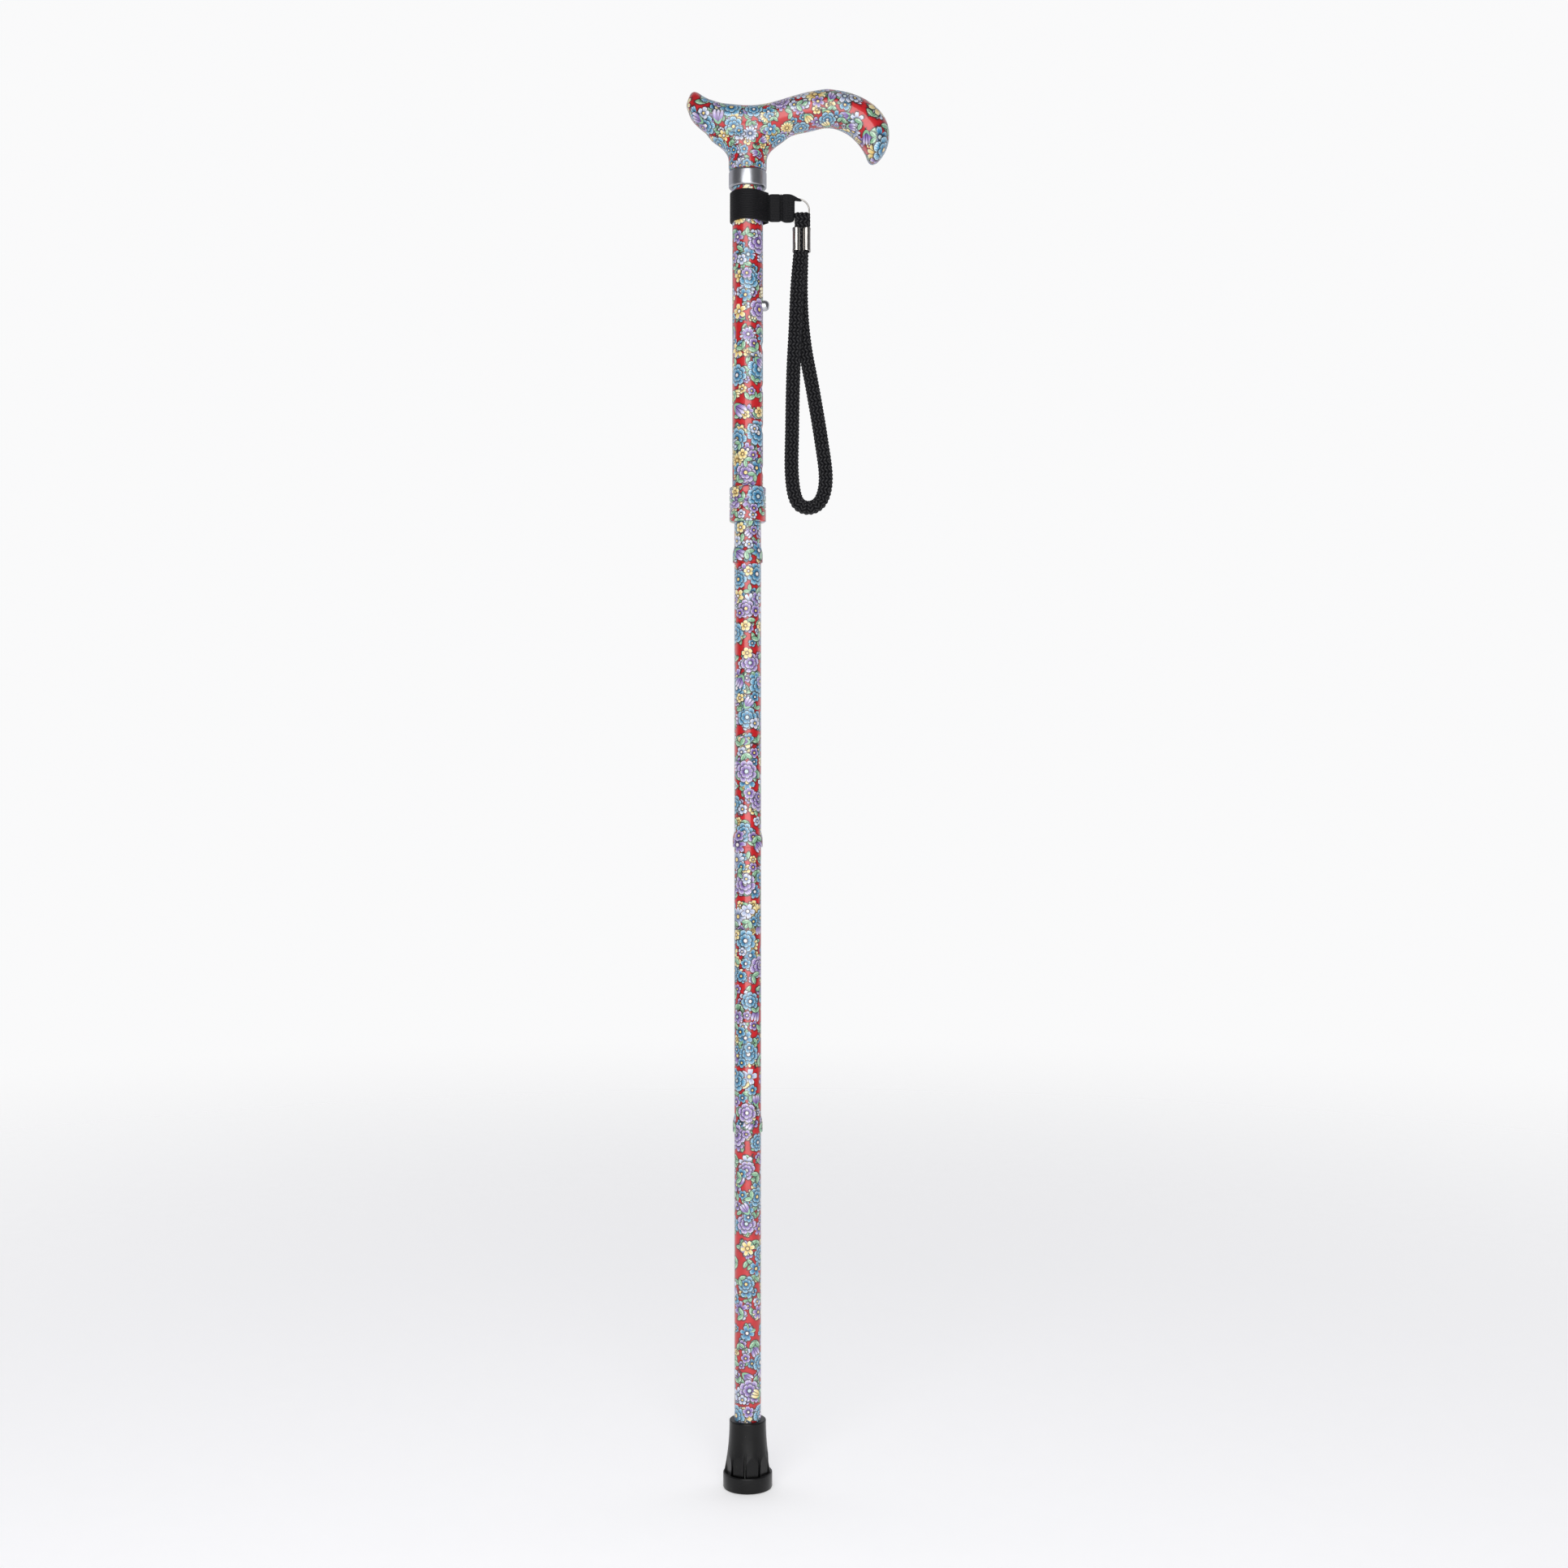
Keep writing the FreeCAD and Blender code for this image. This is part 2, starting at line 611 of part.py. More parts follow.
def make_stitching():
    """Two rows of thread through the tail, seen on both of its faces."""
    thread = 0.3
    face = size["webbing_thickness"] + 0.2 + thread + 0.01
    length = 2.0
    stitches = []
    for across in (12.6, 20.7):
        for side in (-1, 1):
            for i in range(5):
                low = size["webbing_height"] + 2.0 + i * 2.8
                foot = Vector(across, side * face, low)
                stitches.append(Part.makeCylinder(thread, length, foot))
    add_shape("strap_stitching", Part.makeCompound(stitches))


def make_split_ring():
    """A ring of round wire coiled twice, its two turns pressed together."""
    wire_r = "sizes.ring_wire / 2"
    coils = []
    for name, side in (("front_coil", -1), ("back_coil", 1)):
        coil = doc.addObject("Part::Torus", name)
        coil.setExpression("Radius1", f"sizes.ring_diameter / 2 - {wire_r}")
        coil.setExpression("Radius2", wire_r)
        coil.Placement = FreeCAD.Placement(Vector(0, 0, 0), FreeCAD.Rotation(Vector(1, 0, 0), 90))
        coil.setExpression("Placement.Base.x", "sizes.ring_across")
        coil.setExpression("Placement.Base.y", f"{side} * sizes.ring_wire * 0.47")
        coil.setExpression("Placement.Base.z", "sizes.ring_height")
        coil.Visibility = False
        coils.append(coil)
    ring = doc.addObject("Part::Fuse", "split_ring")
    ring.Base, ring.Tool = coils
    ring.Label = "split_ring"
    doc.recompute()


# Middle line of the hanging loop, from the crimp down the left strand and up the right one:
# across, towards the back, and height.
CORD_LINE = (
    (32.9, -1.45, 764.0),
    (30.6, -1.45, 742.0),
    (29.6, -1.45, 716.0),
    (28.2, -1.2, 688.0),
    (27.5, -0.8, 655.0),
    (27.3, -0.4, 626.0),
    (30.4, -0.2, 609.5),
    (38.0, 0.0, 605.4),
    (45.4, 0.2, 610.2),
    (48.3, 0.4, 624.0),
    (45.4, 0.8, 648.0),
    (40.4, 1.2, 678.0),
    (35.0, 1.45, 708.0),
    (32.9, 1.45, 736.0),
    (33.9, 1.45, 764.0),
)


def make_wrist_cord():
    """A flat braid, doubled through the ring and the crimp and hanging as one long loop."""
    points = [Vector(*point) for point in CORD_LINE]
    curve = Part.BSplineCurve()
    curve.interpolate(points)
    start = curve.tangent(curve.FirstParameter)[0]
    sideways = Vector(0, 1, 0)
    across = start.cross(sideways)
    section = Part.Ellipse(
        points[0] + across * (size["braid_width"] / 2),
        points[0] + sideways * (size["braid_thickness"] / 2),
        points[0],
    )
    pipe = Part.BRepOffsetAPI.MakePipeShell(Part.Wire(curve.toShape()))
    pipe.setBiNormalMode(sideways)
    pipe.add(Part.Wire(section.toShape()))
    pipe.build()
    pipe.makeSolid()
    loop = pipe.shape()
    half = size["fold_width"] / 2
    depth = 2 * size["braid_thickness"] + 0.5
    low = size["crimp_lower_edge"] - 4
    crimp_top = size["crimp_lower_edge"] + size["crimp_height"]
    fold = size["fold_top"] - depth / 2
    middle = size["crimp_across"]
    shifted = size["tail_end"] + 0.15 + half
    outline = [
        Vector(middle - half, -depth / 2, low),
        Vector(middle + half, -depth / 2, low),
        Vector(middle + half, -depth / 2, crimp_top),
        Vector(shifted + half, -depth / 2, crimp_top + 1.5),
        Vector(shifted + half, -depth / 2, fold),
        Vector(shifted - half, -depth / 2, fold),
        Vector(shifted - half, -depth / 2, crimp_top + 1.5),
        Vector(middle - half, -depth / 2, crimp_top),
    ]
    neck = Part.Face(Part.makePolygon(outline + outline[:1])).extrude(Vector(0, depth, 0))
    sideways_x = Vector(1, 0, 0)
    top = Part.makeCylinder(depth / 2, 2 * half, Vector(shifted - half, 0, fold), sideways_x)
    drop = math.sqrt(RING_R ** 2 - (middle - size["ring_across"]) ** 2)
    wire_tunnel = tunnel(middle, size["ring_height"] - drop, 4 * half, sideways_x)
    braid = loop.fuse([neck, top]).cut([ring_space(0.25), wire_tunnel])
    add_shape("wrist_cord", braid.removeSplitter())


def make_crimp():
    """A bent metal strip: flat behind, with two rounded lips in front and a slot between them."""
    wall = 0.7
    lip_gap = 2.2
    middle = size["crimp_across"]
    half = size["crimp_width"] / 2
    depth = size["braid_thickness"] + 0.27
    low = size["crimp_lower_edge"]
    tall = size["crimp_height"]

    def block(grow):
        box = Part.makeBox(2 * (half + grow), 2 * (depth + grow), tall,
                           Vector(middle - half - grow, -depth - grow, low))
        edges = [edge for edge in box.Edges if abs(edge.tangentAt(edge.FirstParameter).z) > 0.9]
        return box.makeFillet(min(depth + grow, 2.2), edges)

    cut = Part.makeBox(2 * half - 0.8, 2 * depth, tall, Vector(middle - half + 0.4, -depth, low))
    slot = Part.makeBox(lip_gap, 3 * depth, tall, Vector(middle - lip_gap / 2, -3 * depth, low))
    add_shape("cord_crimp", block(wall).cut(cut).cut(slot).removeSplitter())


make_outer_tube()
make_inner_tube()
make_lower_shaft()
make_snap_button()
make_button_spring()
make_lock()
make_handle()
make_handle_fittings()
make_foot()
make_webbing()
make_stitching()
make_split_ring()
make_wrist_cord()
make_crimp()
doc.recompute()

NODES = [item for item in doc.Objects if item.TypeId == "PartDesign::Body"]
NODES += [item for item in doc.Objects if item.TypeId == "Part::Feature"]
NODES.append(doc.getObject("split_ring"))

for item in doc.Objects:
    if "Invalid" in item.State or "Error" in item.State:
        raise RuntimeError(f"{item.Name} failed: {item.State}")
for node in NODES:
    if node.Shape.isNull() or not node.Shape.isValid():
        raise RuntimeError(f"{node.Label} has no valid shape")
os.makedirs("parts", exist_ok=True)
for node in NODES:
    node.Shape.exportStep(f"parts/{node.Label}.step")
    print(f"{node.Label:20s} {node.Shape.Volume:10.1f} mm3, {len(node.Shape.Solids)} solid")
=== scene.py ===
import json
import math
from contextlib import contextmanager

import bmesh
import bpy
import numpy as np
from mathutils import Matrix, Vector


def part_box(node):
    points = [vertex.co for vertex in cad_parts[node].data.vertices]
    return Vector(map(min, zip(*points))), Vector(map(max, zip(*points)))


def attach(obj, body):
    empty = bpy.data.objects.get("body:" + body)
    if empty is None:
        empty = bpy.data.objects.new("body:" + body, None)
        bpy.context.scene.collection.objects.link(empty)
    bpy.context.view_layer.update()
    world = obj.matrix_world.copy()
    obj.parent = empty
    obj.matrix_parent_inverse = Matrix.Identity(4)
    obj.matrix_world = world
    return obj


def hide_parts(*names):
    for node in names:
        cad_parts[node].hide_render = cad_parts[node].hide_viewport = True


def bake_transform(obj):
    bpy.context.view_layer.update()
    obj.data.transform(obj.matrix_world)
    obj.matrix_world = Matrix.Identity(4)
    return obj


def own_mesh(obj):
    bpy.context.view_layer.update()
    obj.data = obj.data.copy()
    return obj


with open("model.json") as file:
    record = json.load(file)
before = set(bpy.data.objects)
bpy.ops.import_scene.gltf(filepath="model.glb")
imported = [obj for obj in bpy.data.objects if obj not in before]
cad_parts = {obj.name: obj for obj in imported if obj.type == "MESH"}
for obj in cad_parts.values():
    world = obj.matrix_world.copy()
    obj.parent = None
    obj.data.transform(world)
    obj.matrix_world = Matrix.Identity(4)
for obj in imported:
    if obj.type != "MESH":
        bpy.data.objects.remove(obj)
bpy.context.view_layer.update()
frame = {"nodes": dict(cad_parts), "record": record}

MM = 0.001
TAU = 2 * math.pi


# ---- Places and sizes from the frame ----

def span(node):
    """Lowest and highest corner of a CAD node, in millimetres."""
    low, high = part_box(node)
    return low / MM, high / MM


def radius_of(node):
    """Half the width of a round CAD node across the shaft, in millimetres."""
    low, high = span(node)
    return (high.y - low.y) / 2


OUTER_R = radius_of("upper_tube")
LOWER_R = radius_of("section_4")
BELL_R = radius_of("section_2")
HEIGHT = span("handle")[1].z


# ---- Node trees ----

def operator(operation, swapped=False):
    """A Python operator that adds a node for one step of arithmetic."""
    def act(value, *others):
        values = (*others, value) if swapped else (value, *others)
        return value.graph.math(operation, *values)
    return act


class Value:
    """A node's output, which takes part in arithmetic as a number does."""

    def __init__(self, graph, socket):
        self.graph, self.socket = graph, socket

    def __neg__(self):
        return 0.0 - self

    __add__ = __radd__ = operator("ADD")
    __sub__ = operator("SUBTRACT")
    __rsub__ = operator("SUBTRACT", swapped=True)
    __mul__ = __rmul__ = operator("MULTIPLY")
    __truediv__ = operator("DIVIDE")
    __rtruediv__ = operator("DIVIDE", swapped=True)
    __mod__ = operator("FLOORED_MODULO")
    __pow__ = operator("POWER")
    __abs__ = operator("ABSOLUTE")


class Graph:
    """A node tree with short calls for what the materials need."""

    def __init__(self, tree):
        self.tree = tree

    def fill(self, node, inputs):
        """Give a node's inputs numbers, colours or other nodes' outputs."""
        for name, value in inputs.items():
            if isinstance(value, Value):
                self.tree.links.new(value.socket, node.inputs[name])
            else:
                node.inputs[name].default_value = value

    def node(self, kind, inputs=None, **settings):
        """Add a node, set its properties and fill its inputs."""
        new = self.tree.nodes.new(kind)
        for name, value in settings.items():
            setattr(new, name, value)
        self.fill(new, inputs or {})
        return new

    def value(self, kind, inputs=None, output=0, **settings):
        """Add a node and give one of its outputs."""
        return Value(self, self.node(kind, inputs, **settings).outputs[output])

    def values(self, kind, inputs=None, **settings):
        """Add a node and give all its outputs by name."""
        new = self.node(kind, inputs, **settings)
        return {socket.name: Value(self, socket) for socket in new.outputs if socket.name}

    def math(self, operation, *values):
        """One step of arithmetic."""
        return self.value("ShaderNodeMath", dict(enumerate(values)), operation=operation)

    def length(self, x, y):
        return self.math("SQRT", x * x + y * y)

    def smooth(self, value, low, high):
        """0 below low, 1 above high, with a soft step between."""
        inputs = {"Value": value, "From Min": low, "From Max": high}
        return self.value("ShaderNodeMapRange", inputs, "Result", interpolation_type="SMOOTHSTEP")

    def mix(self, share, a, b):
        """A colour between two colours."""
        return self.value("ShaderNodeMix", {0: share, 6: a, 7: b}, 2, data_type="RGBA")

    def join(self, x, y, z):
        return self.value("ShaderNodeCombineXYZ", {"X": x, "Y": y, "Z": z})

    def split(self, vector):
        return self.values("ShaderNodeSeparateXYZ", {"Vector": vector}).values()

    def noise(self, vector, scale, detail=2.0, roughness=0.5):
        """Smooth noise between about 0.3 and 0.7."""
        inputs = {"Vector": vector, "Scale": scale, "Detail": detail, "Roughness": roughness}
        return self.value("ShaderNodeTexNoise", inputs, "Fac")

    def choose(self, value, colours):
        """One of a row of colours, picked by a number from 0 to 1."""
        new = self.node("ShaderNodeValToRGB", {"Fac": value})
        ramp = new.color_ramp
        ramp.interpolation = "CONSTANT"
        while len(ramp.elements) < len(colours):
            ramp.elements.new(0.5)
        for i in range(len(colours)):
            ramp.elements[i].position = i / len(colours)
        for element, chosen in zip(ramp.elements, colours):
            element.color = chosen
        return Value(self, new.outputs["Color"])


def colour(red, green, blue):
    """A colour from display values of 0 to 255."""
    def linear(value):
        value /= 255
        return value / 12.92 if value < 0.04045 else ((value + 0.055) / 1.055) ** 2.4
    return linear(red), linear(green), linear(blue), 1.0


def scaled(tint, factor):
    """A colour made darker or lighter."""
    return [min(1.0, factor * c) for c in tint[:3]] + [1.0]


def new_group(name, numbers, shades, out_numbers, out_shades=()):
    """An empty node group: its graph, its inputs in order and its output node."""
    tree = bpy.data.node_groups.new(name, "ShaderNodeTree")
    for way, kind, labels in (("INPUT", "Float", numbers), ("INPUT", "Color", shades),
                              ("OUTPUT", "Float", out_numbers), ("OUTPUT", "Color", out_shades)):
        for label in labels:
            tree.interface.new_socket(label, in_out=way, socket_type=f"NodeSocket{kind}")
    graph = Graph(tree)
    given = graph.values("NodeGroupInput").values()
    return graph, given, tree.nodes.new("NodeGroupOutput")


# ---- Floral print ----
# The print is drawn in millimetres on the unrolled surface: U runs round it and V along it.
# Each layer divides the surface into cells, and each cell holds one flower or leaf with its own
# place, turn, size and colours.

INK = colour(24, 10, 22)
RED = colour(192, 0, 14)
LIGHT_RED = colour(206, 4, 20)

# Each set holds a dark, a middle and a tip shade.
SHADES = ("Dark", "Middle", "Tip")
BLUES = (colour(18, 72, 122), colour(70, 146, 188), colour(196, 226, 238))
LAVENDERS = (colour(78, 44, 132), colour(148, 120, 192), colour(236, 230, 246))
CREAMS = (colour(222, 170, 84), colour(246, 222, 146), colour(250, 244, 212))
WHITES = (colour(120, 140, 186), colour(196, 206, 230), colour(244, 244, 248))
GREENS = (colour(46, 104, 78), colour(136, 190, 150), colour(186, 220, 188))

ENDLESS = 100000  # columns of cells on a surface that doesn't close
SEED_STEP = 11.7  # keeps one layer's random numbers apart from the next one's


def make_cell_group():
    """Split the surface into cells that close up after a whole number of columns."""
    numbers = ("U", "V", "Cell", "Columns", "Seed", "Jitter")
    g, given, out = new_group("print_cell", numbers, (), ("X", "Y", "A", "B", "C", "D"))
    u, v, width, columns, seed, jitter = given
    up = v / width
    row = g.math("FLOOR", up)
    across = u / width + row % 2.0 * 0.5
    column = g.math("FLOOR", across)
    dice = []
    for shift in (0.0, 0.37):
        place = g.join(column % columns + shift, row, seed + shift)
        throw = g.value("ShaderNodeTexWhiteNoise", {"Vector": place}, "Color", noise_dimensions="3D")
        dice += g.values("ShaderNodeSeparateColor", {"Color": throw}).values()
    x = (across - column - 0.5 - (dice[0] - 0.5) * jitter) * width
    y = (up - row - 0.5 - (dice[1] - 0.5) * jitter) * width
    turn = dice[2] * TAU
    cosine, sine = g.math("COSINE", turn), g.math("SINE", turn)
    g.fill(out, {"X": x * cosine + y * sine, "Y": y * cosine - x * sine,
                 "A": dice[3], "B": dice[4], "C": dice[5], "D": dice[1]})
    return g.tree


def new_motif(name, numbers):
    """An empty group for a motif: it gives a colour, and the distance outside its outline."""
    return new_group(name, numbers, SHADES, ("Distance",), ("Colour",))


def make_petal_group():
    """A ring of petals round the origin, notched and frilled, with veins and dark gaps."""
    g, given, out = new_motif("print_petals", ("X", "Y", "Radius", "Count", "Waist", "Power"))
    x, y, radius, count, waist, power, dark, middle, tip = given
    r = g.length(x, y)
    angle = g.math("ARCTAN2", y, x)
    off_axis = g.math("FRACT", angle * (count / TAU) + 0.5) - 0.5
    side = abs(off_axis * 2.0)
    lobe = (1.0 - side ** 2.4) ** power
    notch = (1.0 - side) ** 10.0 * 0.07
    frill = g.math("SINE", angle * (count * 4.0)) * 0.03
    reach = radius * (waist + (1.0 - waist) * (lobe - notch + frill))
    along = g.math("MINIMUM", r / reach, 1.0)
    veins = g.math("COSINE", off_axis * (TAU * 5)) * 0.5 + 0.5
    tone = g.mix(g.smooth(along, 0.2, 0.7), dark, middle)
    tone = g.mix(g.smooth(along + veins * 0.2, 0.78, 1.2), tone, tip)
    fade = veins * veins * (1.0 - g.smooth(along, 0.3, 0.8))
    tone = g.mix(fade * 0.55, tone, dark)
    gap = (1.0 - side) * r * (math.pi / count)
    gap_line = (1.0 - g.smooth(gap, 0.06, 0.24)) * g.smooth(along, 0.3, 0.5)
    g.fill(out, {"Colour": g.mix(gap_line * 0.85, tone, INK), "Distance": (r - reach) * 0.75})
    return g.tree


def make_leaf_group():
    """A pair of pointed leaves on one short stem."""
    g, given, out = new_motif("print_leaf", ("X", "Y", "Length"))
    x, y, length, dark, middle, tip = given
    fold = math.radians(44)
    x += length * 0.42
    y = abs(y)
    along = x * math.cos(fold) + y * math.sin(fold)
    across = y * math.cos(fold) - x * math.sin(fold)
    off_rib = abs(across)
    share = along / length
    inside = g.math("MAXIMUM", share * (1.0 - share), 0.0)
    half = length * 0.74 * inside ** 0.8
    beyond = g.math("MAXIMUM", -share, share - 1.0) * length
    tone = g.mix(g.smooth(across, -0.5, 0.5), middle, tip)
    side_veins = g.smooth(g.math("SINE", along * 3.4 - off_rib * 3.0), 0.75, 1.0)
    tone = g.mix(side_veins * 0.5, tone, dark)
    rib = 1.0 - g.smooth(off_rib, 0.05, 0.16)
    g.fill(out, {"Colour": g.mix(rib * 0.8, tone, dark),
                 "Distance": g.math("MAXIMUM", off_rib - half, beyond)})
    return g.tree


def make_tulip_group():
    """A tulip seen from the side: three petals in a cup, with a green cap under it."""
    g, given, out = new_motif("print_tulip", ("X", "Y", "Size"))
    x, y, size, dark, middle, tip = given
    x, y = x / size, y / size
    wide = abs(x)
    below = g.math("MINIMUM", y - 0.1, 0.0) / 0.85
    round_foot = g.math("SQRT", g.math("MAXIMUM", 1.0 - below * below, 0.0))
    half = (0.5 + y * 0.1) * round_foot
    top = 0.42 + abs(g.math("COSINE", x * (math.pi / 0.36))) * 0.3
    streaks = g.math("COSINE", x / (half + 0.2) * 26.0) * 0.5 + 0.5
    rise = y + streaks * 0.35
    tone = g.mix(g.smooth(rise, -0.7, 0.3), dark, middle)
    tone = g.mix(g.smooth(rise, 0.1, 0.9), tone, tip)
    petal_edge = abs(wide - (y + 0.75) * 0.16)
    tone = g.mix(1.0 - g.smooth(petal_edge, 0.015, 0.05), tone, INK)
    cap = g.smooth(wide * 0.9 - (y + 0.5), 0.0, 0.04)
    g.fill(out, {"Colour": g.mix(cap, tone, GREENS[1]),
                 "Distance": g.math("MAXIMUM", wide - half, y - top) * size})
    return g.tree


CELLS = make_cell_group()
PETALS = make_petal_group()
LEAF = make_leaf_group()
TULIP = make_tulip_group()


class Print:
    """Layers of motifs on one surface. girth is the length round it, or None if it doesn't close."""

    def __init__(self, graph, u, v, girth, scale):
        self.graph, self.u, self.v = graph, u, v
        self.girth, self.scale = girth, scale
        cloud = graph.noise(graph.join(u, v, 0.0), 0.12)
        self.base = graph.mix(graph.smooth(cloud, 0.4, 0.7), RED, LIGHT_RED)
        self.seed = 0.0

    def group(self, tree, inputs):
        """Place a node group and give its outputs."""
        return self.graph.values("ShaderNodeGroup", inputs, node_tree=tree)

    def cells(self, width, chance):
        """A layer of cells about this wide; show is 1 where a cell's motif is drawn."""
        width *= self.scale
        columns = ENDLESS
        if self.girth:
            columns = max(2, round(self.girth / width))
            width = self.girth / columns
        self.seed += SEED_STEP
        inputs = {"U": self.u, "V": self.v, "Cell": width, "Columns": float(columns),
                  "Seed": self.seed, "Jitter": 0.3}
        cell = self.group(CELLS, inputs)
        return cell, width, self.graph.math("LESS_THAN", cell["A"], chance)

    def shades(self, dice, sets):
        """Dark, middle and tip shades of one of the given sets, picked by a number."""
        return [self.graph.choose(dice, [chosen[i] for chosen in sets]) for i in range(3)]

    def lay(self, tone, distance, show):
        """Lay a shape over the print, with its ink outline and the dark shade around it."""
        mix, smooth = self.graph.mix, self.graph.smooth
        away = distance + (1.0 - show) * 20.0
        lower = mix((1.0 - smooth(away, 0.0, 1.15)) * 0.78, self.base, INK)
        lower = mix(1.0 - smooth(away, 0.2, 0.34), lower, INK)
        self.base = mix(1.0 - smooth(away, -0.06, 0.04), lower, tone)

    def draw(self, tree, x, y, shades, show, **numbers):
        """Lay one motif over the print."""
        motif = self.group(tree, {"X": x, "Y": y, **dict(zip(SHADES, shades)), **numbers})
        self.lay(motif["Colour"], motif["Distance"], show)

    def leaves(self, width, chance):
        """One pair of leaves a cell."""
        cell, width, show = self.cells(width, chance)
        length = width * 0.56 * (0.72 + cell["C"] * 0.28)
        self.draw(LEAF, cell["X"], cell["Y"], GREENS, show, Length=length)

    def tulips(self, width, chance):
        """One tulip a cell."""
        cell, width, show = self.cells(width, chance)
        shades = self.shades(cell["B"], (LAVENDERS, CREAMS, LAVENDERS, LAVENDERS))
        size = width * 0.46 * (0.75 + cell["C"] * 0.25)
        self.draw(TULIP, cell["X"], cell["Y"], shades, show, Size=size)

    def flowers(self, width, chance, petals, sets, waist=0.35, power=0.5, double=False):
        """One flower a cell; petals is the smallest and the largest number of petals."""
        cell, width, show = self.cells(width, chance)
        x, y = cell["X"], cell["Y"]
        shades = self.shades(cell["B"], sets)
        few, many = petals
        count = self.graph.math("FLOOR", few + cell["C"] * (many - few + 0.99))
        radius = width * 0.42 * (0.74 + cell["D"] * 0.26)
        self.draw(PETALS, x, y, shades, show, Radius=radius, Count=count, Waist=waist, Power=power)
        if double:
            turned_x, turned_y = x * 0.82 + y * 0.57, y * 0.82 - x * 0.57
            self.draw(PETALS, turned_x, turned_y, shades, show, Radius=radius * 0.6, Count=count,
                      Waist=0.6, Power=power)
        self.heart(cell, radius * (0.16 if double else 0.2), show)

    def heart(self, cell, radius, show):
        """The small pale or yellow disc in a flower's middle."""
        g, x, y = self.graph, cell["X"], cell["Y"]
        tone = g.choose(cell["A"], (CREAMS[1], WHITES[2], BLUES[2], CREAMS[0]))
        dots = g.smooth(g.noise(g.join(x, y, 0.0), 2.4, 0.0), 0.52, 0.6)
        self.lay(g.mix(dots * 0.6, tone, CREAMS[0]), g.length(x, y) - radius, show)


def floral(graph, u, v, girth, scale, blooms, daisies):
    """The whole print's colour at one place; blooms and daisies are how many cells hold one."""
    drawing = Print(graph, u, v, girth, scale)
    every = (BLUES, LAVENDERS, WHITES, BLUES, CREAMS, LAVENDERS)
    drawing.leaves(9.4, 0.9)
    drawing.flowers(6.6, 0.65, (4, 6), (WHITES, BLUES, CREAMS, LAVENDERS))
    drawing.leaves(8.0, 0.7)
    drawing.tulips(9.6, 0.5)
    drawing.flowers(13.5, daisies, (11, 13), (CREAMS, WHITES, CREAMS), waist=0.42, power=0.6)
    drawing.flowers(10.4, 0.66, (5, 6), every, waist=0.2, power=0.9)
    drawing.flowers(15.5, blooms, (6, 8), (BLUES, LAVENDERS, BLUES), 0.62, 0.5, True)
    drawing.flowers(7.4, 0.3, (5, 5), every)
    drawing.tulips(11.5, 0.16)
    drawing.leaves(8.0, 0.2)
    return drawing.base


# ---- Materials ----

class Surface(Graph):
    """A material's graph: its Principled shader, and the place in the row frame in millimetres."""

    def __init__(self, name):
        self.material = bpy.data.materials.new(name)
        self.material.use_nodes = True
        super().__init__(self.material.node_tree)
        self.tree.nodes.clear()
        self.shader = self.node("ShaderNodeBsdfPrincipled")
        light = Value(self, self.shader.outputs["BSDF"])
        self.node("ShaderNodeOutputMaterial", {"Surface": light})
        metres = self.value("ShaderNodeTexCoord", output="Object")
        inputs = {0: metres, "Scale": 1 / MM}
        self.place = self.value("ShaderNodeVectorMath", inputs, operation="SCALE")

    def look(self, tone, roughness, **others):
        """Set the shader's inputs; an underscore stands for a space in an input's name."""
        self.fill(self.shader, {"Base Color": tone, "Roughness": roughness})
        self.fill(self.shader, {name.replace("_", " "): value for name, value in others.items()})

    def bump(self, height, distance, strength, normals=("Normal",)):
        """Raise the surface by a height, whose full step is a distance in millimetres."""
        inputs = {"Height": height, "Distance": distance * MM, "Strength": strength}
        raised = self.value("ShaderNodeBump", inputs)
        self.fill(self.shader, {name: raised for name in normals})


def lacquered(surface, tone):
    """Clear gloss over a print, with the faint waviness of a dipped coat."""
    haze = surface.smooth(surface.noise(surface.place, 0.6, 3.0), 0.45, 0.8)
    surface.look(tone, 0.42, Coat_Weight=1.0, Coat_IOR=1.5, Coat_Roughness=0.015 + haze * 0.05)
    waves = surface.noise(surface.place, 0.16, 1.0)
    surface.bump(waves, 0.05, 0.12, ("Normal", "Coat Normal"))
    return surface.material


def printed_tube(name, girth):
    """The floral print wrapped round the shaft."""
    surface = Surface(name)
    x, y, z = surface.split(surface.place)
    u = surface.math("ARCTAN2", x, -y) * (girth / TAU)
    return lacquered(surface, floral(surface, u, z, girth, 1.2, 0.72, 0.2))


def printed_handle(name, layer):
    """The floral print on the handle's unrolled surface, a little smaller than on the tubes."""
    surface = Surface(name)
    u, v, _ = surface.split(surface.value("ShaderNodeUVMap", uv_map=layer))
    return lacquered(surface, floral(surface, u, v, None, 1.1, 0.4, 0.4))


def polished(name, tint, roughness, scratches=0.06):
    """Bright metal with fine wiping marks round it."""
    surface = Surface(name)
    x, y, z = surface.split(surface.place)
    marks = surface.noise(surface.join(x * 0.3, y * 0.3, z * 6.0), 2.0, 4.0)
    cloud = surface.smooth(surface.noise(surface.place, 0.4, 3.0), 0.3, 0.8)
    worn = roughness + surface.smooth(marks, 0.45, 0.8) * scratches
    surface.look(surface.mix(cloud, tint, scaled(tint, 0.86)), worn, Metallic=1.0)
    surface.bump(marks, 0.01, 0.15)
    return surface.material


def plain_plastic(name, tint, roughness):
    """Moulded plastic with a fine spark-eroded texture."""
    surface = Surface(name)
    grain = surface.noise(surface.place, 3.0, 4.0)
    tone = surface.mix(surface.smooth(grain, 0.4, 0.7), tint, scaled(tint, 0.75))
    surface.look(tone, roughness + grain * 0.15)
    surface.bump(grain, 0.03, 0.4)
    return surface.material


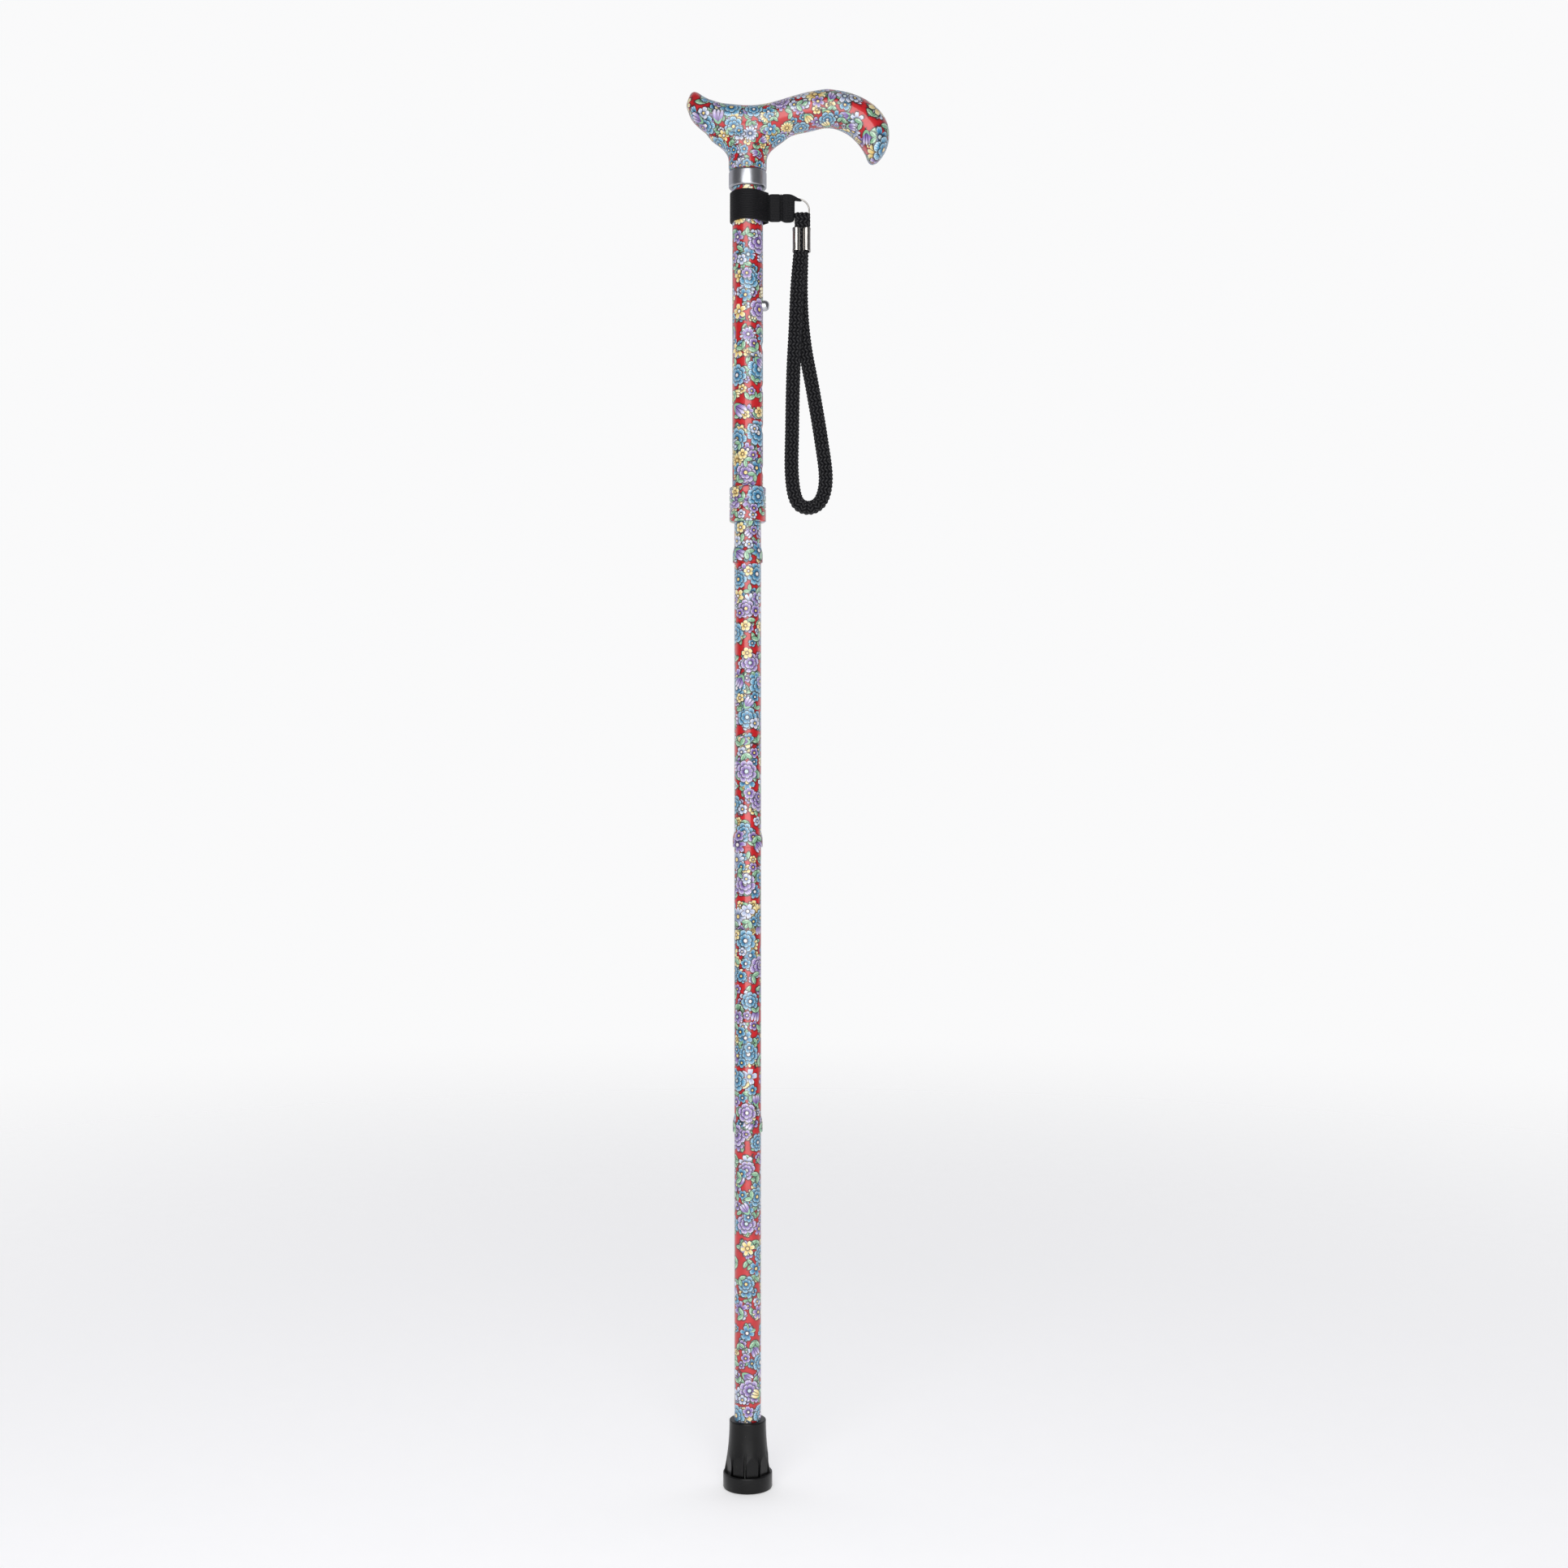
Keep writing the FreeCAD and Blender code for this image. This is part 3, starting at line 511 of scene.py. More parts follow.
def rubber(name):
    """Satin black rubber with mould grain and a few specks of dust."""
    surface = Surface(name)
    grain = surface.noise(surface.place, 2.2, 5.0, 0.65)
    cloud = surface.noise(surface.place, 0.12, 3.0)
    tone = surface.mix(surface.smooth(cloud, 0.35, 0.7), colour(3, 3, 4), colour(9, 9, 10))
    inputs = {"Vector": surface.place, "Scale": 0.4}
    from_speck = surface.value("ShaderNodeTexVoronoi", inputs, "Distance")
    speck = surface.math("LESS_THAN", from_speck, 0.05)
    tone = surface.mix(speck * 0.3, tone, colour(150, 146, 140))
    surface.look(tone, 0.2 + cloud * 0.2, Specular_IOR_Level=0.3)
    surface.bump(grain, 0.06, 0.5)
    return surface.material


def cloth(name, tint, fibre, sheen=0.3, roughness=0.82, gloss=0.5):
    """Spun yarn: soft sheen, uneven dye and fine fibres."""
    surface = Surface(name)
    fibres = surface.noise(surface.place, fibre, 4.0, 0.7)
    patch = surface.noise(surface.place, 0.2, 3.0)
    lighter = scaled(tint, 2.6)
    tone = surface.mix(surface.smooth(fibres, 0.46, 0.72), tint, lighter)
    tone = surface.mix(surface.smooth(patch, 0.45, 0.7) * 0.25, tone, lighter)
    surface.look(tone, roughness, Specular_IOR_Level=gloss, Sheen_Weight=sheen, Sheen_Roughness=0.4)
    surface.bump(fibres, 0.12, 0.8)
    return surface.material


PRINT_OUTER = printed_tube("print_outer_tube", TAU * OUTER_R)
PRINT_LOWER = printed_tube("print_lower_tube", TAU * LOWER_R)
PRINT_LOCK = printed_tube("print_lock_collar", TAU * radius_of("lock_collar"))
PRINT_HANDLE = printed_handle("print_handle", "print_mm")
CHROME = polished("polished_steel", (0.60, 0.61, 0.64, 1.0), 0.12)
SATIN_CHROME = polished("brushed_steel", (0.50, 0.51, 0.54, 1.0), 0.3)
NICKEL = polished("nickel_plate", (0.48, 0.46, 0.43, 1.0), 0.18)
ZINC = polished("zinc_plate", (0.62, 0.63, 0.65, 1.0), 0.28, 0.15)
ALUMINIUM = polished("drawn_aluminium", (0.80, 0.81, 0.82, 1.0), 0.24, 0.18)
SPRING = polished("spring_steel", (0.45, 0.46, 0.48, 1.0), 0.22, 0.1)
NYLON = plain_plastic("black_nylon", (0.035, 0.035, 0.038, 1.0), 0.42)
RUBBER = rubber("black_rubber")
WEBBING = cloth("black_webbing", (0.003, 0.003, 0.004, 1.0), 3.4, 0.03, 0.6, 0.25)
THREAD = cloth("black_thread", (0.004, 0.004, 0.005, 1.0), 6.0, 0.03, 0.6, 0.25)
BRAID = cloth("black_braid", (0.0025, 0.0025, 0.0038, 1.0), 4.2, 0.03, 0.45, 0.35)
ELASTIC = cloth("elastic_cover", (0.62, 0.61, 0.57, 1.0), 4.0)


# ---- Mesh helpers ----

PINHOLE = 0.01  # smallest radius of a turned outline, so that no points coincide


def new_object(name, data):
    """An object in the scene for a mesh, a light or a camera."""
    new = bpy.data.objects.new(name, data)
    bpy.context.scene.collection.objects.link(new)
    return new


def new_shape(name, vertices, faces):
    """An object made of points in millimetres."""
    mesh = bpy.data.meshes.new(name)
    mesh.from_pydata([tuple(c * MM for c in point) for point in vertices], [], faces)
    return new_object(name, mesh)


def new_piece(name, vertices, faces, body, material, replaces=None, crease=40):
    """A piece of the cane made of points in millimetres, on its body."""
    piece = new_shape(name, vertices, faces)
    piece.data.validate()
    return dress(piece, body, material, replaces, crease)


def dress(piece, body, material, replaces=None, crease=40):
    """Smooth a piece, give it its material and put it on its body."""
    mesh = piece.data
    mesh.shade_smooth()
    mesh.set_sharp_from_angle(angle=math.radians(crease))
    cover(mesh, material)
    if body:
        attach(piece, body)
    if replaces:
        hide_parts(replaces)
        slot_of(replaces)
    return piece


def cover(mesh, material):
    """Give a mesh one material and no other."""
    mesh.materials.clear()
    mesh.materials.append(material)


def slot_of(node):
    """The record's material slot of a CAD node."""
    return next(s["material_slot"] for s in frame["record"]["subparts"] if s["node"] == node)


def grid_faces(rows, columns, close_rows=False):
    """Quads over a grid of points stored row by row; every row is a closed ring."""
    faces = []
    for i in range(rows if close_rows else rows - 1):
        here, above = i * columns, (i + 1) % rows * columns
        for j in range(columns):
            beside = (j + 1) % columns
            faces.append((here + j, here + beside, above + beside, above + j))
    return faces


def capped_faces(rows, columns):
    """Quads over rings of points, with one face over each end."""
    first = tuple(range(columns))
    last = tuple((rows - 1) * columns + i for i in first)
    return grid_faces(rows, columns) + [first[::-1], last]


def flat_cap(start, around, flip):
    """Quads that close a thin loop of points whose second half runs back along its first."""
    quads = []
    for i in range(around // 2 - 1):
        quad = (start + i, start + around - 1 - i, start + around - 2 - i, start + i + 1)
        quads.append(quad[::-1] if flip else quad)
    return quads


def thin_faces(rows, columns):
    """Quads over thin loops of points, with quads over each end."""
    ends = flat_cap(0, columns, False) + flat_cap((rows - 1) * columns, columns, True)
    return grid_faces(rows, columns) + ends


def arc(centre, radius, start, end, steps):
    """Points along an arc in the outline's plane; angles in degrees."""
    points = []
    for i in range(steps + 1):
        angle = math.radians(start + (end - start) * i / steps)
        points.append((centre[0] + radius * math.cos(angle), centre[1] + radius * math.sin(angle)))
    return points


def ease(value, low, high):
    """0 below low, 1 above high and a soft step between."""
    share = min(1.0, max(0.0, (value - low) / (high - low)))
    return share * share * (3 - 2 * share)


def dent(distance, width):
    """1 in the middle of a dent or bulge, fading to 0 beside it."""
    return math.exp(-(distance / width) ** 2)


def turned(outline, sides):
    """A radius-and-height outline turned about the shaft's axis, as rings of points."""
    turns = [TAU * i / sides for i in range(sides)]
    return [(radius * math.sin(turn), -radius * math.cos(turn), height)
            for radius, height in outline for turn in turns]


def turned_sideways(outline, sides, height):
    """A radius-and-reach outline turned about a level line along +X, as rings of points."""
    turns = [TAU * i / sides for i in range(sides)]
    return [(reach, radius * math.cos(turn), height + radius * math.sin(turn))
            for radius, reach in outline for turn in turns]


def lathe(name, outline, body, material, replaces, sides=112, crease=32):
    """A piece made by turning a closed outline about the shaft's axis."""
    faces = grid_faces(len(outline), sides, close_rows=True)
    return new_piece(name, turned(outline, sides), faces, body, material, replaces, crease)


def round_section(half_across, half_out, sides):
    """An oval cross-section for a sweep."""
    turns = [TAU * i / sides for i in range(sides)]
    return [(half_across * math.cos(turn), half_out * math.sin(turn)) for turn in turns]


def unit(vectors):
    """Vectors scaled to length one."""
    return vectors / np.linalg.norm(vectors, axis=1)[:, None]


def directions(points):
    """Unit directions of a line at each of its points."""
    return unit(np.gradient(points, axis=0))


def crosswise(points, ups):
    """Unit directions sideways and upwards, square to a line at each of its points."""
    along = directions(points)
    sides = unit(np.cross(ups, along))
    return sides, np.cross(along, sides)


def sweep(centres, ups, section):
    """A cross-section carried along a line; ups are the directions of the section's second axis."""
    centres = np.array(centres, float)
    vertices = []
    for centre, side, up in zip(centres, *crosswise(centres, np.array(ups, float))):
        vertices += [tuple(centre + side * across + up * out) for across, out in section]
    return vertices, capped_faces(len(centres), len(section))


def merged(parts):
    """Several lists of points and faces as one."""
    vertices, faces = [], []
    for points, loops in parts:
        start = len(vertices)
        vertices += points
        faces += [tuple(start + i for i in loop) for loop in loops]
    return vertices, faces


def distances(points):
    """How far along a line each of its points lies."""
    steps = np.linalg.norm(np.diff(np.array(points, float), axis=0), axis=1)
    return np.concatenate([[0], np.cumsum(steps)])


def read_off(places, knots, rows):
    """Rows of three numbers, read off at places between their knots."""
    return np.column_stack([np.interp(places, knots, column) for column in np.array(rows).T])


def even_line(points, spacing):
    """A smooth line through points, as evenly spaced places along it."""
    points = np.array(points, float)
    padded = np.vstack([2 * points[0] - points[1], points, 2 * points[-1] - points[-2]])
    dense = []
    for i in range(1, len(padded) - 2):
        a, b, c, d = padded[i - 1:i + 3]
        for t in np.linspace(0, 1, 40, endpoint=False):
            bend = (2 * a - 5 * b + 4 * c - d) * t ** 2 + (3 * b - a - 3 * c + d) * t ** 3
            dense.append(b + 0.5 * ((c - a) * t + bend))
    dense = np.array(dense + [padded[-2]])
    reach = distances(dense)
    places = np.linspace(0, reach[-1], max(2, int(reach[-1] / spacing)))
    return read_off(places, reach, dense), places


def add_modifier(piece, kind, **settings):
    """Put a modifier on a piece and turn the result into plain mesh."""
    modifier = piece.modifiers.new("change", kind)
    for name, value in settings.items():
        setattr(modifier, name, value)
    graph = bpy.context.evaluated_depsgraph_get()
    mesh = bpy.data.meshes.new_from_object(piece.evaluated_get(graph))
    old = piece.data
    piece.modifiers.clear()
    piece.data = mesh
    bpy.data.meshes.remove(old)


def cut_with(piece, cutter):
    """Take one closed mesh out of another and delete it."""
    add_modifier(piece, "BOOLEAN", operation="DIFFERENCE", solver="EXACT", object=cutter)
    bpy.data.objects.remove(cutter)


@contextmanager
def edited(piece):
    """A piece's mesh opened for editing, and written back afterwards."""
    mesh = bmesh.new()
    mesh.from_mesh(piece.data)
    yield mesh
    mesh.to_mesh(piece.data)
    mesh.free()


# ---- Shaft ----

WALL = 1.2
HOLE_PITCH = 25.4
HOLES = 5
HOLE_PLAY = 0.1
BUTTON_FLANGE = 1.0
CUTTER_START, CUTTER_END = 2.0, 20.0  # along +X, through a tube's right wall only
TUBE_BREAK = 0.2
BELL_PLAY = 0.05
BELL_STRAIGHT = 5.2
BELL_LENGTH = 10.5
SEAT_DEPTH = 7.5


def button_place():
    """Height, radius and outermost reach of the snap button."""
    low, high = span("snap_button")
    return (low.z + high.z) / 2, (high.z - low.z) / 2 - BUTTON_FLANGE, high.x


def cut_button_hole(tube, drop=0.0):
    """Cut a round hole for the button in a tube's right wall, lower than the button by a drop."""
    height, button_r, _ = button_place()
    sides = 40
    outline = [(button_r + HOLE_PLAY, reach) for reach in (CUTTER_START, CUTTER_END)]
    points = turned_sideways(outline, sides, height - drop)
    cut_with(tube, new_shape("cutter", points, capped_faces(2, sides)))


def make_upper_tube():
    """The outer tube with its row of height holes."""
    low, high = span("upper_tube")
    bore = OUTER_R - WALL
    outline = [(bore, low.z), (OUTER_R - 0.25, low.z), (OUTER_R, low.z + 0.25), (OUTER_R, high.z),
               (bore, high.z)]
    tube = lathe("upper_tube_shell", outline, "upper_shaft", PRINT_OUTER, "upper_tube", sides=160)
    for i in range(HOLES):
        cut_button_hole(tube, i * HOLE_PITCH)
    tube.data.set_sharp_from_angle(angle=math.radians(50))


def bell_outline(low, top):
    """A lower tube that flares smoothly into its bell."""
    seat_r, bore = LOWER_R + BELL_PLAY, LOWER_R - WALL
    outline = [(seat_r, low + 0.5), (seat_r + 0.35, low), (BELL_R - 0.25, low), (BELL_R, low + 0.3)]
    steps = 14
    for i in range(steps + 1):
        share = i / steps
        radius = BELL_R + (LOWER_R - BELL_R) * ease(share, 0, 1)
        outline.append((radius, low + BELL_STRAIGHT + (BELL_LENGTH - BELL_STRAIGHT) * share))
    outline += [(LOWER_R, top - TUBE_BREAK), (LOWER_R - TUBE_BREAK, top), (bore, top)]
    outline += [(bore, low + SEAT_DEPTH), (seat_r, low + SEAT_DEPTH)]
    return outline


def make_lower_tubes():
    """The inner tube and the three lower sections."""
    for node, body in (("inner_tube", "inner_shaft"), ("section_2", "section_2"),
                       ("section_3", "section_3")):
        low, high = span(node)
        tube = lathe(f"{node}_shell", bell_outline(low.z, high.z), body, PRINT_LOWER, node)
        if node == "inner_tube":
            cut_button_hole(tube)
            dress(tube, body, PRINT_LOWER)
    low, high = span("section_4")
    bore = LOWER_R - WALL
    outline = [(bore, low.z), (LOWER_R, low.z), (LOWER_R, high.z - TUBE_BREAK),
               (LOWER_R - TUBE_BREAK, high.z), (bore, high.z)]
    lathe("section_4_shell", outline, "section_4", PRINT_LOWER, "section_4")


def make_collar():
    """The polished collar, with softly rolled edges."""
    low, high = span("collar_ring")
    roll = 1.3
    middle = (high.x - low.x) / 2 - roll
    outline = [(OUTER_R, low.z)]
    outline += arc((middle, low.z + roll), roll, -90, 0, 8)
    outline += arc((middle, high.z - roll), roll, 0, 90, 8)
    outline.append((OUTER_R, high.z))
    lathe("collar_shell", outline, "upper_shaft", SATIN_CHROME, "collar_ring")


def make_lock_collar():
    """The locking collar: three rounded ribs over a deeper plain skirt."""
    low, high = span("lock_collar")
    bore, lip = radius_of("lock_bushing") + 0.05, LOWER_R + 0.1
    skirt, rib, lip_depth = 8.4, 4.2, 3.2
    edges = [low.z] + [low.z + skirt + rib * i for i in range(3)] + [high.z]
    roll, groove = 0.9, 0.12
    middle = (high.x - low.x) / 2 - roll
    outline = [(lip, low.z)]
    for bottom, top in zip(edges, edges[1:]):
        outline += arc((middle, bottom + groove + roll), roll, -80, 0, 6)
        outline += arc((middle, top - groove - roll), roll, 0, 80, 6)
    outline += [(bore, high.z), (bore, low.z + lip_depth), (lip, low.z + lip_depth)]
    lathe("lock_collar_shell", outline, "lock_collar", PRINT_LOCK, "lock_collar", crease=60)


def make_snap_button():
    """The chrome button: flange, shank and a full dome."""
    back = span("snap_button")[0].x
    height, radius, reach = button_place()
    flange = radius + BUTTON_FLANGE
    dome, tip = 2.9, 0.001
    outline = [(tip, back), (flange, back), (flange, back + 1.0), (radius, back + 1.0),
               (radius, reach - dome)]
    steps = 14
    for i in range(1, steps + 1):
        angle = math.pi / 2 * i / steps
        ring_r = max(tip, radius * math.cos(angle) ** 0.8)
        outline.append((ring_r, reach - dome + dome * math.sin(angle)))
    sides = 64
    points = turned_sideways(outline, sides, height)
    faces = capped_faces(len(outline), sides)
    new_piece("snap_button_dome", points, faces, "button", CHROME, "snap_button")


# ---- Handle ----

SOCKET_R = 10.35
SOCKET_DEPTH = 24.0
SKIN_CELL = 1.8
ROOT_LOW, ROOT_HIGH, ROOT_REACH = 6, 27, 36  # where the stem's root is, from the lower end
NOSE_X, NOSE_Z = -32.5, 860.0


def make_handle():
    """The derby handle: the CAD form, its joins melted together, and unrolled for the print."""
    handle = new_object("handle_shell", frame["nodes"]["handle"].data.copy())
    low = span("handle")[0].z
    fill_socket(handle, low)
    add_modifier(handle, "REMESH", mode="VOXEL", voxel_size=SKIN_CELL * MM)
    melt_joins(handle, low)
    draw_nose(handle)
    unroll(handle, "print_mm", low)
    add_modifier(handle, "SUBSURF", levels=2, render_levels=2)
    sides = 64
    rod = [(SOCKET_R, low - 2.0), (SOCKET_R, span("upper_tube")[1].z)]
    cut_with(handle, new_shape("socket", turned(rod, sides), capped_faces(2, sides)))
    dress(handle, "upper_shaft", PRINT_HANDLE, "handle", crease=60)


def fill_socket(handle, low):
    """Close the socket for now, because its wall is thinner than the coarse skin's cells."""
    reach, roof = (SOCKET_R + 0.1) * MM, (low + SOCKET_DEPTH) * MM
    with edited(handle) as mesh:
        bmesh.ops.remove_doubles(mesh, verts=mesh.verts, dist=0.001 * MM)
        inner = [face for face in mesh.faces
                 if all(math.hypot(v.co.x, v.co.y) < reach and v.co.z < roof for v in face.verts)]
        bmesh.ops.delete(mesh, geom=inner, context="FACES")
        rim = [edge for edge in mesh.edges if edge.is_boundary]
        bmesh.ops.holes_fill(mesh, edges=rim, sides=0)


def melt_joins(handle, low):
    """Smooth the whole surface a little, and the root of the stem a lot."""
    with edited(handle) as mesh:
        free = [v for v in mesh.verts if v.co.z > (low + 2.6) * MM]
        root = [v for v in free if (low + ROOT_LOW) * MM < v.co.z < (low + ROOT_HIGH) * MM
                and abs(v.co.x) < ROOT_REACH * MM]
        for passes, verts in ((2, free), (12, root)):
            for _ in range(passes):
                bmesh.ops.smooth_vert(mesh, verts=verts, factor=0.5, use_axis_x=True,
                                      use_axis_y=True, use_axis_z=True)


def draw_nose(handle):
    """Draw the nose's upper corner out, which the coarse skin has rounded off."""
    for vertex in handle.data.vertices:
        x, y, z = vertex.co / MM
        near = dent(x - NOSE_X, 4.5) * dent(z - NOSE_Z, 5.5) * dent(y, 9)
        vertex.co += Vector((-0.6, 0, 3.4)) * near * MM


def unroll(handle, layer, low):
    """A flat map of the handle in millimetres, cut along the underside where it isn't seen."""
    mouth = (low + 1.0) * MM
    with edited(handle) as mesh:
        everything = mesh.verts[:] + mesh.edges[:] + mesh.faces[:]
        bmesh.ops.bisect_plane(mesh, geom=everything, plane_co=(0, 0, 0), plane_no=(0, 1, 0))
        mesh.normal_update()
        for edge in mesh.edges:
            a, b = edge.verts
            on_middle = abs(a.co.y) < 1e-6 and abs(b.co.y) < 1e-6
            below = sum(face.normal.z for face in edge.link_faces) / 2 < 0.1
            at_mouth = a.co.z < mouth and b.co.z < mouth
            edge.seam = (on_middle and below) or at_mouth
    handle.data.uv_layers.new(name=layer)
    bpy.context.view_layer.objects.active = handle
    handle.select_set(True)
    bpy.ops.object.mode_set(mode="EDIT")
    bpy.ops.mesh.select_all(action="SELECT")
    bpy.ops.uv.unwrap(method="ANGLE_BASED", margin=0.001)
    bpy.ops.object.mode_set(mode="OBJECT")
    handle.select_set(False)
    scale_map(handle.data, layer)


def scale_map(mesh, layer):
    """Enlarge a flat map until its lengths match the surface, in millimetres."""
    flat = mesh.uv_layers[layer].data
    ratios = []
    for face in mesh.polygons:
        a, b = face.loop_indices[0], face.loop_indices[1]
        ends = [mesh.vertices[mesh.loops[i].vertex_index].co for i in (a, b)]
        drawn = (flat[a].uv - flat[b].uv).length
        if drawn > 1e-9:
            ratios.append((ends[0] - ends[1]).length / MM / drawn)
    ratio = float(np.median(ratios))
    for loop in flat:
        loop.uv = loop.uv * ratio


# ---- Foot ----

PANELS = 9
PANEL_R = 12.6
FOOT_RIM_R = 11.3
FOOT_FLARE = 3.3
FOOT_RING_TOP = 9.9
FOOT_FLOOR = 10.0  # the lowest tube stands on it
TREAD_DEPTH = 1.2
FIN_TURN = 0.15
FIN_EDGE = 0.945
SLOT_WIDTH = 0.14
SLOT_DEPTH = 0.9
SLOT_TOP = 0.48


def foot_radius(share, turn):
    """Outer radius of the foot above its ring: flat panels, with a thin fin in each slot between.

    share runs from 0 at the ring to 1 at the upper rim, and turn from 0 to 1 round the foot.
    """
    flare = FOOT_RIM_R + FOOT_FLARE * (1 - share) ** 2.1
    from_panel = abs((turn * PANELS + FIN_TURN) % 1.0 - 0.5) * 2
    if from_panel > FIN_EDGE:
        return flare
    panel = min(flare, PANEL_R / math.cos(from_panel * math.pi / PANELS))
    if from_panel > FIN_EDGE - SLOT_WIDTH:
        return panel - SLOT_DEPTH * max(0.0, 1 - share / SLOT_TOP)
    return panel


def make_foot():
    """The rubber foot: a treaded sole, a plain ring, nine panels with fins, and a thick rim."""
    top = span("rubber_foot")[1].z
    ring_r = radius_of("rubber_foot")
    edge, roll, steps = 0.8, 0.7, 60
    below = [(PINHOLE, TREAD_DEPTH), (5.3, TREAD_DEPTH), (5.5, 0.0), (8.0, 0.0), (8.2, TREAD_DEPTH),
             (9.8, TREAD_DEPTH), (10.0, 0.0), (ring_r - 1.0, 0.0), (ring_r - 0.3, 0.25), (ring_r, 0.9)]
    below += arc((ring_r - edge, FOOT_RING_TOP - edge), edge, 0, 90, 5)
    above = arc((FOOT_RIM_R - roll, top - roll), roll, 15, 90, 5)
    above += [(LOWER_R, top), (LOWER_R, FOOT_FLOOR), (PINHOLE, FOOT_FLOOR)]
    columns = PANELS * 48
    rows = [[point] * columns for point in below]
    for i in range(steps + 1):
        share = i / steps
        height = FOOT_RING_TOP + 0.05 + (top - roll - FOOT_RING_TOP) * share
        rows.append([(foot_radius(share, j / columns), height) for j in range(columns)])
    rows += [[point] * columns for point in above]
    points = []
    for row in rows:
        for j, (radius, height) in enumerate(row):
            angle = TAU * j / columns
            points.append((radius * math.sin(angle), -radius * math.cos(angle), height))
    faces = grid_faces(len(rows), columns, close_rows=True)
    new_piece("rubber_foot_body", points, faces, "section_4", RUBBER, "rubber_foot", crease=35)


# ---- Wrist strap ----

RIBS = 17
RIB_STEPS = RIBS * 8
BAND_INNER = OUTER_R + 0.05
BAND_WALL = 1.5
SEAMS = (12.9, 20.7)  # where two rows of stitches hold the tail's layers together
TAIL_START, TAIL_END = 10.6, 29.1
TAIL_CORNER = 4.3  # how far the ring draws the tail's upper corner out
RING_X, RING_Z, RING_R = 31.0, 789.3, 7.025
WIRE_R = 0.475
STITCHES = 7
STITCH_PITCH, STITCH_LENGTH = 2.35, 1.75
BRAID_STRANDS = 7
BRAID_REPEAT = 15.5
STRAND_R, STRAND_DEPTH = 0.9, 0.66
FOLD_WIDTH, LOOP_WIDTH = 10.2, 9.2


def rib_depth(share):
    """How far the webbing's surface lies below its ribs' tops, across its width."""
    return 0.24 * (1 - abs(math.sin(math.pi * RIBS * share)) ** 0.7)


def band_reach(radius, angle):
    """The band's surface round the tube, drawn out to a point where the tail's seam begins."""
    leave = math.radians(39.8)
    off_tail = abs(angle)
    if off_tail > leave:
        return radius
    return min(radius / math.cos(leave - off_tail), SEAMS[0] / math.cos(angle))


def webbing_band(low, high):
    """The ribbed elastic band round the tube."""
    sides = 144
    outline = []
    for i in range(RIB_STEPS + 1):
        share = i / RIB_STEPS
        worn_edge = 0.35 * abs(2 * share - 1) ** 30
        outline.append((BAND_INNER + BAND_WALL - rib_depth(share) - worn_edge, share))
    outline += [(BAND_INNER, 1.0), (BAND_INNER, 0.0)]
    points = []
    for radius, share in outline:
        for i in range(sides):
            angle = TAU * i / sides - math.pi
            reach = band_reach(radius, angle)
            wave = 0.12 * math.sin(3 * angle + 0.5)
            height = low + (high - low) * share + wave
            points.append((reach * math.cos(angle), reach * math.sin(angle), height))
    return points, grid_faces(len(outline), sides, close_rows=True)


def tail_half_depth(x, share, along):
    """Half the tail's thickness: pinched at the seams, full at the ring's pocket."""
    depth = 1.75 + 0.4 * dent(x - RING_X + RING_R, 1.5)
    depth -= sum(0.62 * dent(x - seam, 0.8) for seam in SEAMS)
    edges = max(0.0, 1 - abs(2 * share - 1) ** 16) ** 0.5
    end = max(0.0, 1 - along ** 14) ** 0.5
    return max(0.12, depth * (0.35 + 0.65 * edges) * (0.3 + 0.7 * end)) - rib_depth(share) * 0.8


def webbing_tail(low, high):
    """The doubled tail: two seams, a pocket, and one corner drawn out by the ring."""
    stations = 96
    points = []
    for i in range(stations + 1):
        along = i / stations
        ring = []
        for j in range(RIB_STEPS + 1):
            share = j / RIB_STEPS
            end = TAIL_END + TAIL_CORNER * ease(share, 0.80, 0.95) - 0.5 * ease(share, 0.16, 0.0)
            x = TAIL_START + (end - TAIL_START) * along
            inset = 0.7 + sum(0.45 * dent(x - seam, 1.0) for seam in SEAMS)
            bottom = low + inset + 0.8 * ease(x, 26.0, 29.4) - 0.4 * ease(x, 21.0, 24.0)
            top = high - inset - 3.4 * ease(x, 25.5, 34.5)
            ring.append((x, tail_half_depth(x, share, along), bottom + (top - bottom) * share))
        points += [(x, -half, z) for x, half, z in ring]
        points += [(x, half, z) for x, half, z in reversed(ring)]
    return points, thin_faces(stations + 1, 2 * (RIB_STEPS + 1))


def make_webbing():
    """The elastic strap: its band and its tail."""
    low, high = span("strap_webbing")
    points, faces = merged([webbing_band(low.z, high.z), webbing_tail(low.z, high.z)])
    new_piece("strap_webbing_cloth", points, faces, "strap_band", WEBBING, "strap_webbing", 55)


def make_stitches():
    """Two rows of thread through the tail, front and back."""
    first = span("strap_webbing")[0].z + 1.6
    arch = (0.75, 1.12, 1.28, 1.12, 0.75)
    parts = []
    for seam in SEAMS:
        for side in (-1, 1):
            for i in range(STITCHES):
                line = []
                for j, depth in enumerate(arch):
                    share = j / (len(arch) - 1)
                    lean = 0.16 * (share - 0.5) * side
                    height = first + i * STITCH_PITCH + STITCH_LENGTH * share
                    line.append((seam + lean, side * depth, height))
                parts.append(sweep(line, [(0, side, 0)] * len(arch), round_section(0.28, 0.24, 8)))
    new_piece("strap_stitch_rows", *merged(parts), "strap_band", THREAD, "strap_stitching", 60)


